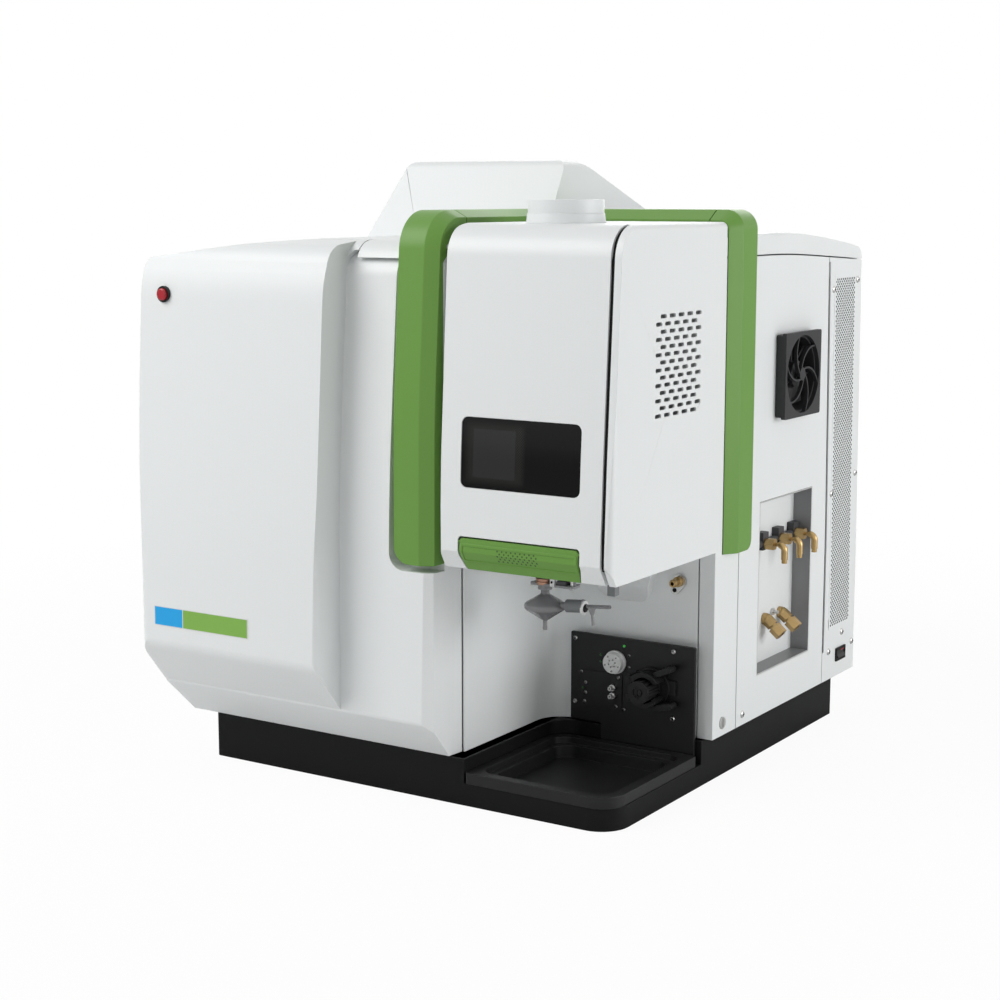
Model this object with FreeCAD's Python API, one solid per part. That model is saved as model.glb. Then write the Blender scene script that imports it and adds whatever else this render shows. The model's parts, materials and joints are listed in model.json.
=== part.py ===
import FreeCAD, Part
import math
import os

# Optical emission spectrometer for the bench: a tall body on a black plinth, a torch box that
# hangs over an open sample bay at the front right, and gas and cooling services on the right side.
# Millimetres, +Z up, front towards -Y, origin at the centre of the plinth's underside.

V = FreeCAD.Vector

# Plinth
base_width = 640.0
base_depth = 676.0
base_height = 62.0
base_corner_radius = 40.0
base_edge_radius = 6.0
base_sheet = 4.0

# Body, measured outwards from the plinth's sides
left_overhang = 58.0
right_overhang = 11.0
front_overhang = 39.0
rear_overhang = 54.0
body_height = 731.5
cover_wall = 3.0
cover_lift = 0.5
seam_gap = 1.6
chin_height = 48.0
side_seam_height = 702.0
floor_sheet = 4.0
frame_tube = 24.0

# Large front panel at the left
panel_width = 308.5
panel_proud = 50.0
panel_chin_height = 62.0
panel_shoulder_radius = 34.0
panel_seam_depth = 66.0

# Sample bay under the torch box
bay_width = 249.5
bay_depth = 288.0
bay_corner_radius = 37.0
bay_seam_depth = 66.0
column_width = 23.0
column_depth = 71.0
bay_sheet = 2.5
bay_pad_width = 96.0
bay_pad_height = 79.0
bay_pad_depth = 16.0
bay_pad_inset = 76.0

# Green band round the tower
band_width = 57.0
band_side_width = 61.0
band_side_foot = 311.5
band_side_chamfer = 12.5
band_turn_radius = 26.0
band_height = 762.0
band_foot_height = 317.5
band_side_proud = 13.5
band_bend_radius = 52.0
band_offset = 5.5
band_channel_depth = 32.0
band_channel_gap = 9.0
band_foot_radius = 22.0
band_side_radius = 14.0
band_seam_x = 305.0
band_chamfer = 9.0
band_seam_gap = 0.8

# Torch box
torch_gap_left = 4.1
torch_width = 247.5
torch_floor_height = 317.5
torch_height = 746.5
torch_back_gap = 14.0
torch_wall = 3.0
torch_edge_radius = 13.0
torch_shoulder_radius = 42.0
torch_front_reach = 31.5
torch_lean = 22.7
torch_chin = 14.0
torch_chin_rise = 24.0
door_strip = 15.0
door_gap = 5.0
door_depth = 28.0
door_hinge_depth = 66.0
door_hinge_gap = 4.0
hinge_pin_radius = 1.5
knuckle_clearance = 0.2

window_width = 171.5
window_height = 88.0
window_sill = 105.0
window_inset = 30.0
window_radius = 9.0
glass_thickness = 4.0
screen_thickness = 1.2

handle_height = 36.5
handle_gap = 2.0
handle_depth = 11.0

vent_rows = 14
vent_columns = 5
vent_length = 15.5
vent_slot = 4.6
vent_pitch_y = 23.3
vent_pitch_z = 9.35
vent_inset = 92.0
vent_height = 511.0

# Exhaust collar on top of the torch box
collar_radius = 47.8
collar_wall = 2.5
collar_rise = 28.5
collar_foot_radius = 50.0
collar_foot_rise = 12.0
collar_x = 192.5
collar_y = -244.0

# Hump on the top cover
hump_height = 828.5
hump_left = -229.0
hump_right = 39.0
hump_front = 13.0
hump_flat = 40.0
hump_rear_radius = 45.0
hump_edge_radius = 15.0
hump_slope = 19.7
hump_front_slope = 61.0
hump_left_slope = 72.0

# Cooling fan on the right side
fan_size = 118.0
fan_y = 142.5
fan_z = 535.0
fan_frame_depth = 10.0
fan_guard_depth = 6.0
fan_bore_radius = 54.0
fan_body_depth = 24.0
fan_blades = 7
fan_hub_radius = 19.0
fan_tip_gap = 2.5
guard_ribs = 6
guard_rib = 3.2
guard_hub_radius = 9.0
guard_hub_shift = 5.0

# Gas and water recess on the right side
recess_front = 44.0
recess_rear = 220.5
recess_bottom = 122.5
recess_top = 366.0
recess_depth = 30.0
recess_sheet = 2.0
gas_pitch = 51.4
gas_first = 103.0
gas_height = 298.4
gas_tube_radius = 4.7
gas_tail_radius = 3.9
gas_tail_length = 5.0
gas_nut_radius = 8.7
gas_nut_length = 14.0
gas_neck_length = 5.0
gas_outlet_end = 273.0
gas_bend_radius = 8.0
manifold_depth = 11.0
manifold_bar_radius = 5.4
manifold_left = 60.0
manifold_block_half = 9.0
manifold_block_above = 16.0
manifold_block_below = 9.0
water_height = 185.4
water_first = 124.3
water_pitch = 51.9
water_tilt = 40.0
water_bore_radius = 4.5
stud_height = 191.0

# Rear strip at the right side
strip_front = 273.0
strip_bend_height = 290.0
strip_lean_rate = 0.03
rear_lean = 12.0
strip_slot = 5.0
strip_foot = 64.0
strip_slot_bottom = 108.0
grille_front = 292.0
grille_rear = 362.0
grille_bottom = 142.0
grille_top = 660.0
grille_rows = 22
grille_columns = 5

rocker_y = 338.2
rocker_z = 95.7
rocker_width = 31.0
rocker_height = 16.0
rocker_lip = 2.2

lock_y = -60.0
lock_z = 80.0
lock_radius = 8.0

button_x = -336.0
button_z = 650.0
button_radius = 8.0
button_ring_radius = 11.0
button_sleeve_radius = 9.7
button_travel = 4.0

label_left = -348.0
label_width = 165.0
label_bottom = 202.0
label_height = 27.0
label_thickness = 1.0

# Pump panel in the bay
plate_left = 121.0
plate_right = 311.5
plate_top = 189.5
plate_bottom = 41.0
plate_notch_x = 169.0
plate_notch_z = 66.5
plate_thickness = 5.0
plate_standoff = 11.0
pump_x = 249.0
pump_z = 129.0
pump_body_radius = 27.0
drum_radius = 15.5
drum_depth = 31.0
drum_ribs = 14
clamp_reach = 27.0
clamp_width = 7.0
clamp_depth = 22.0
jaw_inner = 17.5
jaw_outer = 24.5
pivot_angle = 150.0
pivot_radius = 25.0
valve_x = 192.0
valve_z = 155.0
valve_radius = 14.0
valve_depth = 12.0

# Drip tray
tray_left = 101.0
tray_back = -110.0
tray_rim_height = 45.0
tray_skirt_height = 15.0
tray_corner_radius = 34.0
tray_edge_radius = 5.0
tray_wall = 2.5
tray_lip = 12.0
tray_step = 10.0
tray_step_depth = 8.0
tray_well_depth = 27.0
tray_clearance = 1.0

# Glassware
axis_x = 186.0
axis_y = -280.0
chamber_radius = 27.0
chamber_z = 264.0
arm_tilt = 5.0
chamber_wall = 1.4
torch_radius = 10.0
torch_glass_wall = 1.2

fastener_head = 5.0
fit_gap = 0.3

base_left = -base_width / 2
base_right = base_width / 2
base_front = -base_depth / 2
base_rear = base_depth / 2
body_left = base_left - left_overhang
body_right = base_right + right_overhang
body_front = base_front - front_overhang
body_rear = base_rear + rear_overhang
cover_foot = base_height + cover_lift
panel_right = body_left + panel_width
bay_left = body_right - bay_width
bay_back = body_front + bay_depth
tower_front = bay_back + torch_back_gap
column_left = body_right - column_width
column_rear = bay_back + column_depth
cover_seam = body_front + bay_seam_depth
riser_front = body_front + 24.0
riser_foot = body_height - 20.0
cove_radius = 12.0
cove_reach = 14.0
band_left = bay_left - band_offset - band_width
band_right = bay_left - band_offset
band_front = tower_front + 5.0
band_rear = band_front + band_side_width
torch_left = bay_left + torch_gap_left
torch_right = torch_left + torch_width
torch_back = tower_front
torch_face = body_front + 37 - torch_front_reach
door_right = torch_right - door_strip
hinge_y = body_front + door_hinge_depth + 5.0
hinge_z = torch_height - hinge_pin_radius
plate_face = bay_back - plate_standoff - plate_thickness
button_face = body_front - panel_proud + 24.0
handle_axis_y = torch_face + 2.6
handle_axis_z = torch_floor_height + handle_height

pieces = {}


def rounded_corner(before, corner, after, radius):
    """Points where an arc of the given radius starts, passes and ends at a corner."""
    back = (before - corner).normalize()
    ahead = (after - corner).normalize()
    half = back.getAngle(ahead) / 2
    reach = radius / math.tan(half)
    middle = (back + ahead).normalize()
    centre = corner + middle * (radius / math.sin(half))
    return corner + back * reach, centre - middle * radius, corner + ahead * reach


def outline(points, axis):
    """Closed wire through (u, v) or (u, v, radius) corners in the plane across the axis."""
    place = {"x": lambda u, v: V(0, u, v), "y": lambda u, v: V(u, 0, v), "z": lambda u, v: V(u, v, 0)}[axis]
    corners = []
    spots = [place(point[0], point[1]) for point in points]
    for index, point in enumerate(points):
        radius = point[2] if len(point) > 2 else 0
        if radius:
            following = spots[(index + 1) % len(spots)]
            corners.append(rounded_corner(spots[index - 1], spots[index], following, radius))
        else:
            corners.append((spots[index], None, spots[index]))
    edges = []
    for index, (start, middle, end) in enumerate(corners):
        if middle:
            edges.append(Part.Arc(start, middle, end).toShape())
        following = corners[(index + 1) % len(corners)][0]
        if end.distanceToPoint(following) > 1e-5:
            edges.append(Part.LineSegment(end, following).toShape())
    return Part.Wire(edges)


def slab(points, axis, start, end, inset=0.0):
    """Outline carried along an axis, drawn in on every side by the inset."""
    wire = outline(points, axis)
    if inset:
        wire = wire.makeOffset2D(-inset)
    face = Part.Face(wire)
    way = {"x": V(1, 0, 0), "y": V(0, 1, 0), "z": V(0, 0, 1)}[axis]
    face.translate(way * (start + inset))
    return face.extrude(way * (end - start - 2 * inset))


def block(x0, x1, y0, y1, z0, z1):
    return Part.makeBox(x1 - x0, y1 - y0, z1 - z0, V(x0, y0, z0))


def rod(start, end, radius):
    return Part.makeCylinder(radius, (end - start).Length, start, end - start)


def cone(start, end, radius_start, radius_end):
    return Part.makeCone(radius_start, radius_end, (end - start).Length, start, end - start)


def ring(start, end, outer, inner):
    return rod(start, end, outer).cut(rod(start, end, inner))


def rounded_box(x0, x1, z0, z1, radius, y0, y1):
    """Plate in the XZ plane with rounded corners."""
    corners = [(x0, z0, radius), (x1, z0, radius), (x1, z1, radius), (x0, z1, radius)]
    return slab(corners, "y", y0, y1)


def side_plate(y0, y1, z0, z1, radius, x0, x1):
    """Plate in the YZ plane with rounded corners."""
    corners = [(y0, z0, radius), (y1, z0, radius), (y1, z1, radius), (y0, z1, radius)]
    return slab(corners, "x", x0, x1)


def floor_plate(x0, x1, y0, y1, radius, z0, z1):
    """Plate in the XY plane with rounded corners."""
    corners = [(x0, y0, radius), (x1, y0, radius), (x1, y1, radius), (x0, y1, radius)]
    return slab(corners, "z", z0, z1)


def hexagon(start, end, radius):
    """Hexagonal bar between two points, the radius to its corners."""
    way = end - start
    side = way.cross(V(0, 0, 1))
    if side.Length < 1e-6:
        side = V(1, 0, 0)
    side.normalize()
    up = way.cross(side).normalize()
    corners = []
    for index in range(6):
        angle = math.radians(60 * index)
        corners.append(start + side * (radius * math.cos(angle)) + up * (radius * math.sin(angle)))
    return Part.Face(Part.makePolygon(corners + corners[:1])).extrude(way)


def largest(shape):
    return max(shape.Solids, key=lambda solid: solid.Volume)


def joined(shapes):
    whole = shapes[0].fuse(list(shapes[1:])) if len(shapes) > 1 else shapes[0]
    return whole.removeSplitter()


def screw_head(centre, way, radius):
    """Domed head with a cross recess, seated on its face."""
    height = radius * 0.55
    head = cone(centre, centre + way * height, radius, radius * 0.7)
    up = V(0, 0, 1)
    across = way.cross(up)
    for side in (up, across):
        slot = rod(centre - side * radius * 0.55, centre + side * radius * 0.55, radius * 0.16)
        slot.translate(way * height)
        head = head.cut(slot)
    return head


# Body covers

def side_profile(drop=0.0):
    """Body seen from the right: front plane that leans back, low crown, sloping rear."""
    top = body_height - drop
    return [
        (base_front, cover_foot),
        (body_front, cover_foot + chin_height, 10),
        (body_front + 3, cover_foot + 337, 2500),
        (body_front + 27, top - 8, 34),
        (130, top, 1500),
        (290, top - 14.7, 2000),
        (body_rear - rear_lean, top - 27.3, 18),
        (body_rear, 215, 6000),
        (body_rear, cover_foot),
    ]


def crown_profile(drop=0.0):
    """Body seen from the front: the top falls towards the left."""
    top = body_height - drop
    return [
        (body_left + 18, cover_foot),
        (body_left, cover_foot + chin_height, 30),
        (body_left, top - 34, 16),
        (body_left + 178, top - 11, 1500),
        (body_left + 358, top + 0.5, 1500),
        (body_right, top + 0.5, 8),
        (body_right, cover_foot),
    ]


def body_form(inset=0.0, drop=0.0):
    across = slab(side_profile(drop), "x", body_left, body_right, inset)
    along = slab(crown_profile(drop), "y", body_front - 1, body_rear + 1, inset)
    return across.common(along)


def body_shell():
    inner = body_form(cover_wall)
    return body_form().cut(inner)


def tall_box(x0, x1, y0, y1):
    return block(x0, x1, y0, y1, 0, hump_height + 50)


def seam_band(above):
    """Everything above, or below, the seam between top cover and side panels."""
    height = side_seam_height if above else side_seam_height - seam_gap
    end = 900 if above else 0
    corners = [(body_front - 60, height), (125, height, 2500), (body_rear + 20, height - 16.1),
               (body_rear + 20, end), (body_front - 60, end)]
    return slab(corners, "x", body_left - 20, body_right + 20)


def channel(grow=0.0):
    """Space in the front cover that takes the band's left upright."""
    left = band_left - band_channel_gap - grow
    foot = band_foot_height - band_channel_gap - grow
    corners = [(left, foot, band_foot_radius + grow), (bay_left + 40, foot), (bay_left + 40, 900), (left, 900)]
    back = body_front + band_channel_depth + grow
    return slab(corners, "y", body_front - 80, back)


def corner_plan(inset=0.0):
    """Plan of the front cover, with its narrow chamfer at the bay corner."""
    corners = [
        (body_left - 10, cover_seam),
        (body_left - 10, body_front - 90),
        (bay_left - 21, body_front - 90),
        (bay_left - 21, body_front),
        (bay_left - 7, body_front + 9),
        (bay_left - 2.5, cover_seam),
    ]
    return slab(corners, "z", 0, 900, 0).translated(V(0, 0, 0)) if not inset else slab(
        [(x - inset if x > 0 else x, y) for x, y in corners], "z", 0, 900)


def front_cover():
    outer = body_form(drop=14.0).common(corner_plan())
    inner = body_form(cover_wall, drop=14.0).common(corner_plan(cover_wall))
    return outer.cut(channel()).cut(inner.cut(channel(cover_wall)))


def panel_profile():
    face = body_front - panel_proud
    return [
        (body_front + 60, cover_foot + 50),
        (body_front, cover_foot + 50),
        (face, cover_foot + 50 + panel_chin_height, 26),
        (face + 2, 330, 1500),
        (face + 25, 665, 140),
        (face + 42, body_height - 15, panel_shoulder_radius),
        (body_front + 60, body_height - 8),
    ]


def panel_form(inset=0.0):
    across = slab(panel_profile(), "x", body_left, panel_right, inset)
    front = body_front - panel_proud - 10
    crown = [(x, z, r) for x, z, r in crown_profile()[1:5]]
    corners = [(body_left, 90, 12)] + crown[1:3] + [(panel_right, body_height - 3), (panel_right, 90, 6)]
    along = slab(corners, "y", front, body_front + 80, inset)
    plan = [
        (body_left, body_front + 80), (body_left, body_front - panel_proud, 18),
        (panel_right, body_front - panel_proud, 9), (panel_right, body_front + 80)]
    upright = slab(plan, "z", 60, 900, inset)
    return across.common(along).common(upright)


def front_panel():
    shell = panel_form().cut(panel_form(cover_wall))
    kept = shell.cut(tall_box(body_left - 20, panel_right + 5, cover_seam - seam_gap, 0))
    hole = rod(V(button_x, button_face - 20, button_z), V(button_x, button_face + 20, button_z),
               button_sleeve_radius + fit_gap)
    return joined([kept.cut(body_form(drop=14.0)).cut(hole), panel_cove()])


def panel_cove():
    """Hollow-rounded corner where the panel's side runs over into the riser of the top cover."""
    right = panel_right + cove_reach
    lift = body_height + 20
    face = [(panel_right - 2, side_seam_height - 40), (panel_right, side_seam_height - 40),
            (panel_right, riser_foot, cove_radius), (right, riser_foot), (right, lift),
            (panel_right - 2, lift)]
    block_form = slab(face, "y", riser_front, cover_seam - seam_gap)
    return block_form.common(body_form()).cut(body_form(drop=14.0))


def below_seam(shape):
    return shape.common(seam_band(False))


def left_side_panel():
    zone = tall_box(body_left - 5, body_left + 60, cover_seam + seam_gap, strip_front)
    return below_seam(body_shell().common(zone))


def rear_panel():
    """Rear cover that turns round both rear corners, up to the right-hand strip."""
    wall = body_form().cut(body_form().translated(V(0, -cover_wall, 0)))
    rear = wall.common(tall_box(body_left - 5, body_right - cover_wall, body_rear - 40, body_rear + 5))
    side = body_shell().common(tall_box(body_left - 5, body_left + 60, strip_front + seam_gap, body_rear + 5))
    cover = below_seam(joined([rear, side]))
    for row in range(8):
        height = 470 + row * 16
        slot = rounded_box(-250, -90, height, height + 6, 2.9, body_rear - 20, body_rear + 5)
        cover = cover.cut(slot)
    return cover


def top_cover():
    upper = body_shell().common(seam_band(True))
    left = tall_box(body_left - 5, panel_right + seam_gap, cover_seam, body_rear + 5)
    middle = tall_box(panel_right + cove_reach + seam_gap, band_left + 10, riser_front, body_rear + 5)
    behind = tall_box(panel_right - 5, panel_right + cove_reach + 5, cover_seam, body_rear + 5)
    right = tall_box(band_left + 10, bay_left - 3, cover_seam - 26, body_rear + 5)
    tower = tall_box(bay_left - 3, body_right + 5, tower_front, body_rear + 5)
    skin = upper.common(joined([left, behind, middle, right, tower]))
    inside = body_form(cover_wall)
    riser = block(panel_right + cove_reach + seam_gap, band_left + 8, riser_front, riser_front + cover_wall,
                  side_seam_height - 20, body_height).common(inside)
    riser = riser.cut(body_form(drop=14.0))
    return joined([skin, riser])


def hump_form(inset=0.0):
    foot = body_height - 30
    rise = hump_height - foot
    front_foot = hump_front - rise / math.tan(math.radians(hump_front_slope))
    left_foot = hump_left - rise / math.tan(math.radians(hump_left_slope))
    rear_top = hump_front + hump_flat
    reach = rise / math.tan(math.radians(hump_slope))
    across = [(front_foot, foot), (hump_front, hump_height, hump_edge_radius),
              (rear_top, hump_height, hump_rear_radius), (rear_top + reach, foot)]
    along = [(left_foot, foot), (hump_left, hump_height, hump_edge_radius),
             (hump_right, hump_height, hump_edge_radius), (hump_right + 1, foot)]
    form = slab(across, "x", left_foot - 5, hump_right + 8, inset)
    form = form.common(slab(along, "y", front_foot - 5, rear_top + reach + 5, inset))
    return form.cut(tall_box(left_foot - 9, hump_right + 9, body_rear - 12, body_rear + 500))


def hump_cover():
    return hump_form().cut(hump_form(cover_wall)).cut(body_form())


# Chassis

def base_plinth():
    corners = [
        (base_left, base_front, base_edge_radius), (base_right, base_front, base_corner_radius),
        (base_right, base_rear, base_edge_radius), (base_left, base_rear, base_edge_radius)]
    outer = slab(corners, "z", 0, base_height)
    notch_left = tray_left - tray_clearance
    notch_back = plate_face + plate_thickness + tray_clearance
    ledge = tray_rim_height - tray_skirt_height
    cavity = slab(corners, "z", 0, base_height + base_sheet, base_sheet)
    around = block(notch_left - base_sheet, base_right, base_front, notch_back + base_sheet, 0, base_height)
    cavity = cavity.cut(around)
    below = slab(corners, "z", 0, ledge, base_sheet).common(around)
    well_bottom = tray_rim_height - tray_well_depth - tray_wall - tray_clearance
    inset = tray_lip - tray_clearance
    well = floor_plate(tray_left + inset, base_right - inset, base_front + inset, tray_back - inset,
                       tray_corner_radius - inset, well_bottom, base_height)
    casing = floor_plate(tray_left + inset - base_sheet, base_right - inset + base_sheet,
                         base_front + inset - base_sheet, tray_back - inset + base_sheet,
                         tray_corner_radius - inset + base_sheet, 0, base_height)
    below = below.cut(casing)
    notch = slab([(notch_left, base_front - 5), (base_right + 5, base_front - 5), (base_right + 5, notch_back),
                  (notch_left, notch_back, tray_corner_radius)], "z", ledge, base_height + 5)
    return outer.cut(cavity).cut(below).cut(notch).cut(well)


def chassis_floor():
    corners = [
        (base_left + 2.5, cover_seam + 2), (bay_left - 8, cover_seam + 2),
        (bay_left - 8, bay_back + 10), (column_left - 3, bay_back + 10),
        (column_left - 3, column_rear), (body_right - 8, column_rear),
        (body_right - 8, body_rear - 8, 12), (base_left + 2.5, body_rear - 8, 12)]
    plate = slab(corners, "z", base_height, base_height + floor_sheet)
    for x in (-250, -50, 150):
        for y in (40, 200):
            plate = plate.cut(rod(V(x, y, base_height - 5), V(x, y, base_height + 20), 18))
    return plate


def chassis_frame():
    """Welded frame with the sheet that carries the torch box."""
    foot = base_height + floor_sheet
    top = side_seam_height - 14
    left = body_left + 30
    right = body_right - cover_wall - frame_tube - 2
    front = cover_seam + 12
    rear = body_rear - rear_lean - cover_wall - frame_tube - 4
    tower = tower_front + cover_wall
    half = frame_tube
    inner = bay_left - 40
    column = column_left - frame_tube - 3
    bars = []
    for x, y in ((left, front), (left, rear), (right, rear), (column, tower), (inner, front), (inner, tower)):
        bars.append(block(x, x + half, y, y + half, foot, top))
    bars.append(block(left, right + half, rear, rear + half, top - half, top))
    bars.append(block(left, left + half, front, rear + half, top - half, top))
    bars.append(block(right, right + half, tower, rear + half, top - half, top))
    bars.append(block(left, inner + half, front, front + half, top - half, top))
    bars.append(block(inner, inner + half, front, tower + half, top - half, top))
    bars.append(block(inner, right + half, tower, tower + half, top - half, top))
    bars.append(block(bay_left + 1, body_right - cover_wall - 1, tower_front, tower + 1, torch_floor_height, top))
    notch = block(right - 1, body_right, rocker_y - 21, rocker_y + 21, rocker_z - 15, rocker_z + 15)
    return joined(bars).cut(notch)


def service_column():
    """Narrow corner column to the right of the bay, carried up behind the band."""
    zone = tall_box(column_left, body_right + 5, bay_back, column_rear - seam_gap)
    side = tall_box(body_right - cover_wall, body_right + 5, bay_back, column_rear - seam_gap)
    wall = body_form().common(side)
    front = block(column_left, body_right, bay_back, bay_back + cover_wall, cover_foot, torch_floor_height)
    inner = block(column_left, column_left + cover_wall, bay_back, column_rear - seam_gap, cover_foot,
                  torch_floor_height)
    above = block(column_left - 5, body_right + 5, bay_back - 5, tower_front, torch_floor_height, 900)
    column = below_seam(joined([wall, front, inner]).common(zone)).cut(above)
    hole = rod(V(body_right - 20, lock_y, lock_z), V(body_right + 5, lock_y, lock_z), lock_radius + fit_gap)
    return column.cut(hole)


def strip_lean(z):
    """How far the strip's front edge has moved forward at a height."""
    return max(0.0, z - strip_bend_height) * strip_lean_rate


def strip_edge(offset):
    """Front edge of the rear strip: upright at first, then leaning forward."""
    y = strip_front + offset
    return [(y, 0), (y, strip_bend_height, 3000), (y - strip_lean(900), 900)]


def right_side_panel():
    plan = [(column_rear, 900), (column_rear, 0)] + strip_edge(-seam_gap)
    wall = body_form().common(slab(plan, "x", body_right - cover_wall, body_right + 5))
    panel = below_seam(wall)
    hole = rod(V(body_right - 20, fan_y, fan_z), V(body_right + 5, fan_y, fan_z), fan_bore_radius + 1)
    opening = block(body_right - 20, body_right + 5, recess_front, recess_rear, recess_bottom, recess_top)
    return panel.cut(hole).cut(opening)


def grille_holes():
    pitch_y = (grille_rear - grille_front) / grille_columns
    pitch_z = (grille_top - grille_bottom) / grille_rows
    holes = []
    for row in range(grille_rows):
        z = grille_bottom + row * pitch_z
        start = grille_front - strip_lean(z) + (0.5 if row % 2 else 0) * pitch_y
        for column in range(grille_columns):
            y = start + column * pitch_y
            holes.append(block(body_right - 20, body_right + 5, y, y + pitch_y * 0.62, z, z + pitch_z * 0.56))
    return Part.makeCompound(holes)


def rear_strip():
    """Perforated strip at the rear right corner, with a long slot along its front edge."""
    plan = [(body_rear + 5, 900), (body_rear + 5, 0)] + strip_edge(0)
    side = body_form().common(slab(plan, "x", body_right - cover_wall, body_right + 5))
    strip = below_seam(side)
    slot = slab(strip_edge(-1) + strip_edge(strip_slot)[::-1], "x", body_right - 20, body_right + 5)
    reach = block(body_right - 20, body_right + 5, 0, 400, strip_slot_bottom, side_seam_height - 16)
    strip = strip.cut(slot.common(reach)).cut(grille_holes())
    seat = block(body_right - 20, body_right + 5, rocker_y - rocker_width / 2, rocker_y + rocker_width / 2,
                 rocker_z - rocker_height / 2, rocker_z + rocker_height / 2)
    return strip.cut(seat)


# Green band

def band_fit(shape):
    """Seat the band on the covers that it wraps."""
    return shape.cut(body_form())


def on_band_edge(edge):
    """True for the run of edges between the band's outer face and its side by the torch box."""
    box = edge.BoundBox
    on_side = box.XMin > band_right - 0.1
    outside = box.YMax < body_front + 23 or box.ZMin > band_height - band_bend_radius - 1
    return on_side and outside and box.YMax < band_rear + 0.1 and edge.Length > 20


def on_ribbon_edge(edge):
    """True for the front run of edges on the outside of the band's right part."""
    box = edge.BoundBox
    in_front = box.YMax < band_front + 0.1
    over = box.ZMin > band_height - band_turn_radius - 1
    beside = box.XMin > body_right + band_side_proud - band_turn_radius - 1 and box.ZMax - box.ZMin > 20
    beyond = box.XMax > body_right + 1
    return in_front and (over and edge.Length > 20 or beside and beyond and box.XMin > body_right + 1)


def band_front_form():
    """Left leg of the band: an upright at the front that bends back over the top."""
    front = body_front
    back = body_front + band_channel_depth - fit_gap
    across = [
        (front, band_foot_height), (front + 2, band_foot_height + 190, 1500),
        (front + 20, band_height, band_bend_radius), (band_rear, band_height),
        (band_rear, body_height - 40), (back + 24, body_height - 40, 26), (back, band_foot_height + 300, 30),
        (back, band_foot_height)]
    leg = slab(across, "x", band_left, band_right)
    outer = [edge for edge in leg.Edges if on_band_edge(edge)]
    leg = leg.makeChamfer(2 * band_chamfer, band_chamfer, outer)
    foot = [(band_left, band_foot_height, band_foot_radius), (band_right + 5, band_foot_height),
            (band_right + 5, 900), (band_left, 900)]
    leg = leg.common(slab(foot, "y", front - 10, band_rear + 10))
    return leg


def band_pieces():
    left = band_front_form()
    tower = front_cover()
    left = left.cut(tower).cut(hump_form()).cut(top_cover()).cut(body_form().common(tall_box(-900, 900, cover_seam, 900)))
    split = body_front + 20 + band_bend_radius + 12
    upright = largest(left.common(tall_box(-400, 400, -900, split)))
    top_left = largest(left.common(tall_box(-400, 400, split + band_seam_gap, band_rear + 5)))

    outer = body_right + band_side_proud
    ribbon = [
        (band_right + band_seam_gap, body_height - 40), (band_right + band_seam_gap, band_height),
        (outer, band_height, band_turn_radius), (outer, band_side_foot),
        (body_right - 1, band_side_foot), (body_right - 1, body_height - 60)]
    right = slab(ribbon, "y", band_front, band_rear)
    edges = [edge for edge in right.Edges if on_ribbon_edge(edge)]
    right = right.makeChamfer(1.6 * band_side_chamfer, band_side_chamfer, edges)
    foot = [(band_front, band_side_foot), (band_rear, band_side_foot, band_side_radius),
            (band_rear, 900), (band_front, 900)]
    right = right.common(slab(foot, "x", -400, 400)).cut(body_form())
    turn = band_seam_x
    top_right = right.common(tall_box(-400, turn - band_seam_gap, -900, 900))
    side = right.common(tall_box(turn, 600, -900, 900))
    return upright, top_left, top_right, side


# Torch box and door

def torch_profile():
    front = torch_face
    return [
        (front + torch_chin, torch_floor_height), (front, torch_floor_height + torch_chin_rise, 4),
        (front + 5.5, 466, 1500), (front + torch_lean, torch_height, torch_shoulder_radius),
        (torch_back, torch_height), (torch_back, torch_floor_height)]


def torch_form(inset=0.0):
    across = slab(torch_profile(), "x", torch_left, torch_right, inset)
    front = body_front - 10
    plan = [(torch_left, torch_back), (torch_left, body_front - 20), (torch_right, body_front - 20),
            (torch_right, torch_back)]
    upright = slab(plan, "z", torch_floor_height - 1, torch_height + 1)
    face = torch_face
    edge = slab([(torch_left, torch_back + 1), (torch_left, face, 6), (torch_right, face, torch_edge_radius),
                 (torch_right, torch_back + 1)], "z", torch_floor_height - 1, torch_height + 1)
    crown = slab([(torch_left, torch_floor_height - 1), (torch_left, torch_height, 8),
                  (torch_right, torch_height, 8), (torch_right, torch_floor_height - 1)], "y",
                 front, torch_back + 1, inset)
    return across.common(upright).common(edge).common(crown)


def door_zone(grow=0.0):
    """Front of the torch box that lifts as the door."""
    back = body_front + door_depth + grow
    over = hinge_y - door_hinge_gap / 2 + grow
    corners = [(body_front - 60, torch_floor_height - 5), (back, torch_floor_height - 5),
               (back, torch_height - 40), (over, torch_height - 12), (over, torch_height + 5),
               (body_front - 60, torch_height + 5)]
    return slab(corners, "x", torch_left - 5, door_right + grow)


def torch_door():
    zone = door_zone()
    inner = torch_form(torch_wall).common(tall_box(torch_left, door_right - torch_wall, -900, 0))
    deep = inner.fuse(inner.translated(V(0, 30, 0)))
    door = torch_form().common(zone).cut(deep)
    door = door.cut(window_space(0.0))
    pocket = handle_space(handle_gap)
    return door.cut(pocket)


def window_space(grow):
    left = torch_left + window_inset - grow
    bottom = torch_floor_height + window_sill - grow
    return rounded_box(left, left + window_width + 2 * grow, bottom, bottom + window_height + 2 * grow,
                       window_radius + grow, body_front - 30, body_front + 60)


def door_skin(depth_out, depth_in):
    """Sheet that follows the door's face between two depths behind it."""
    outer = torch_form().translated(V(0, depth_out, 0))
    inner = torch_form().translated(V(0, depth_in, 0))
    return outer.cut(inner)


def window_glass():
    return door_skin(0.8, 0.8 + glass_thickness).common(window_space(-fit_gap)).common(
        tall_box(torch_left, door_right, -900, body_front + 60))


def window_screen():
    """Fine screen held behind the glass, larger than the window opening."""
    start = 0.8 + glass_thickness + 0.1
    return door_skin(start, start + screen_thickness).common(window_space(-fit_gap)).common(
        tall_box(torch_left, door_right, -900, body_front + 60))


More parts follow.
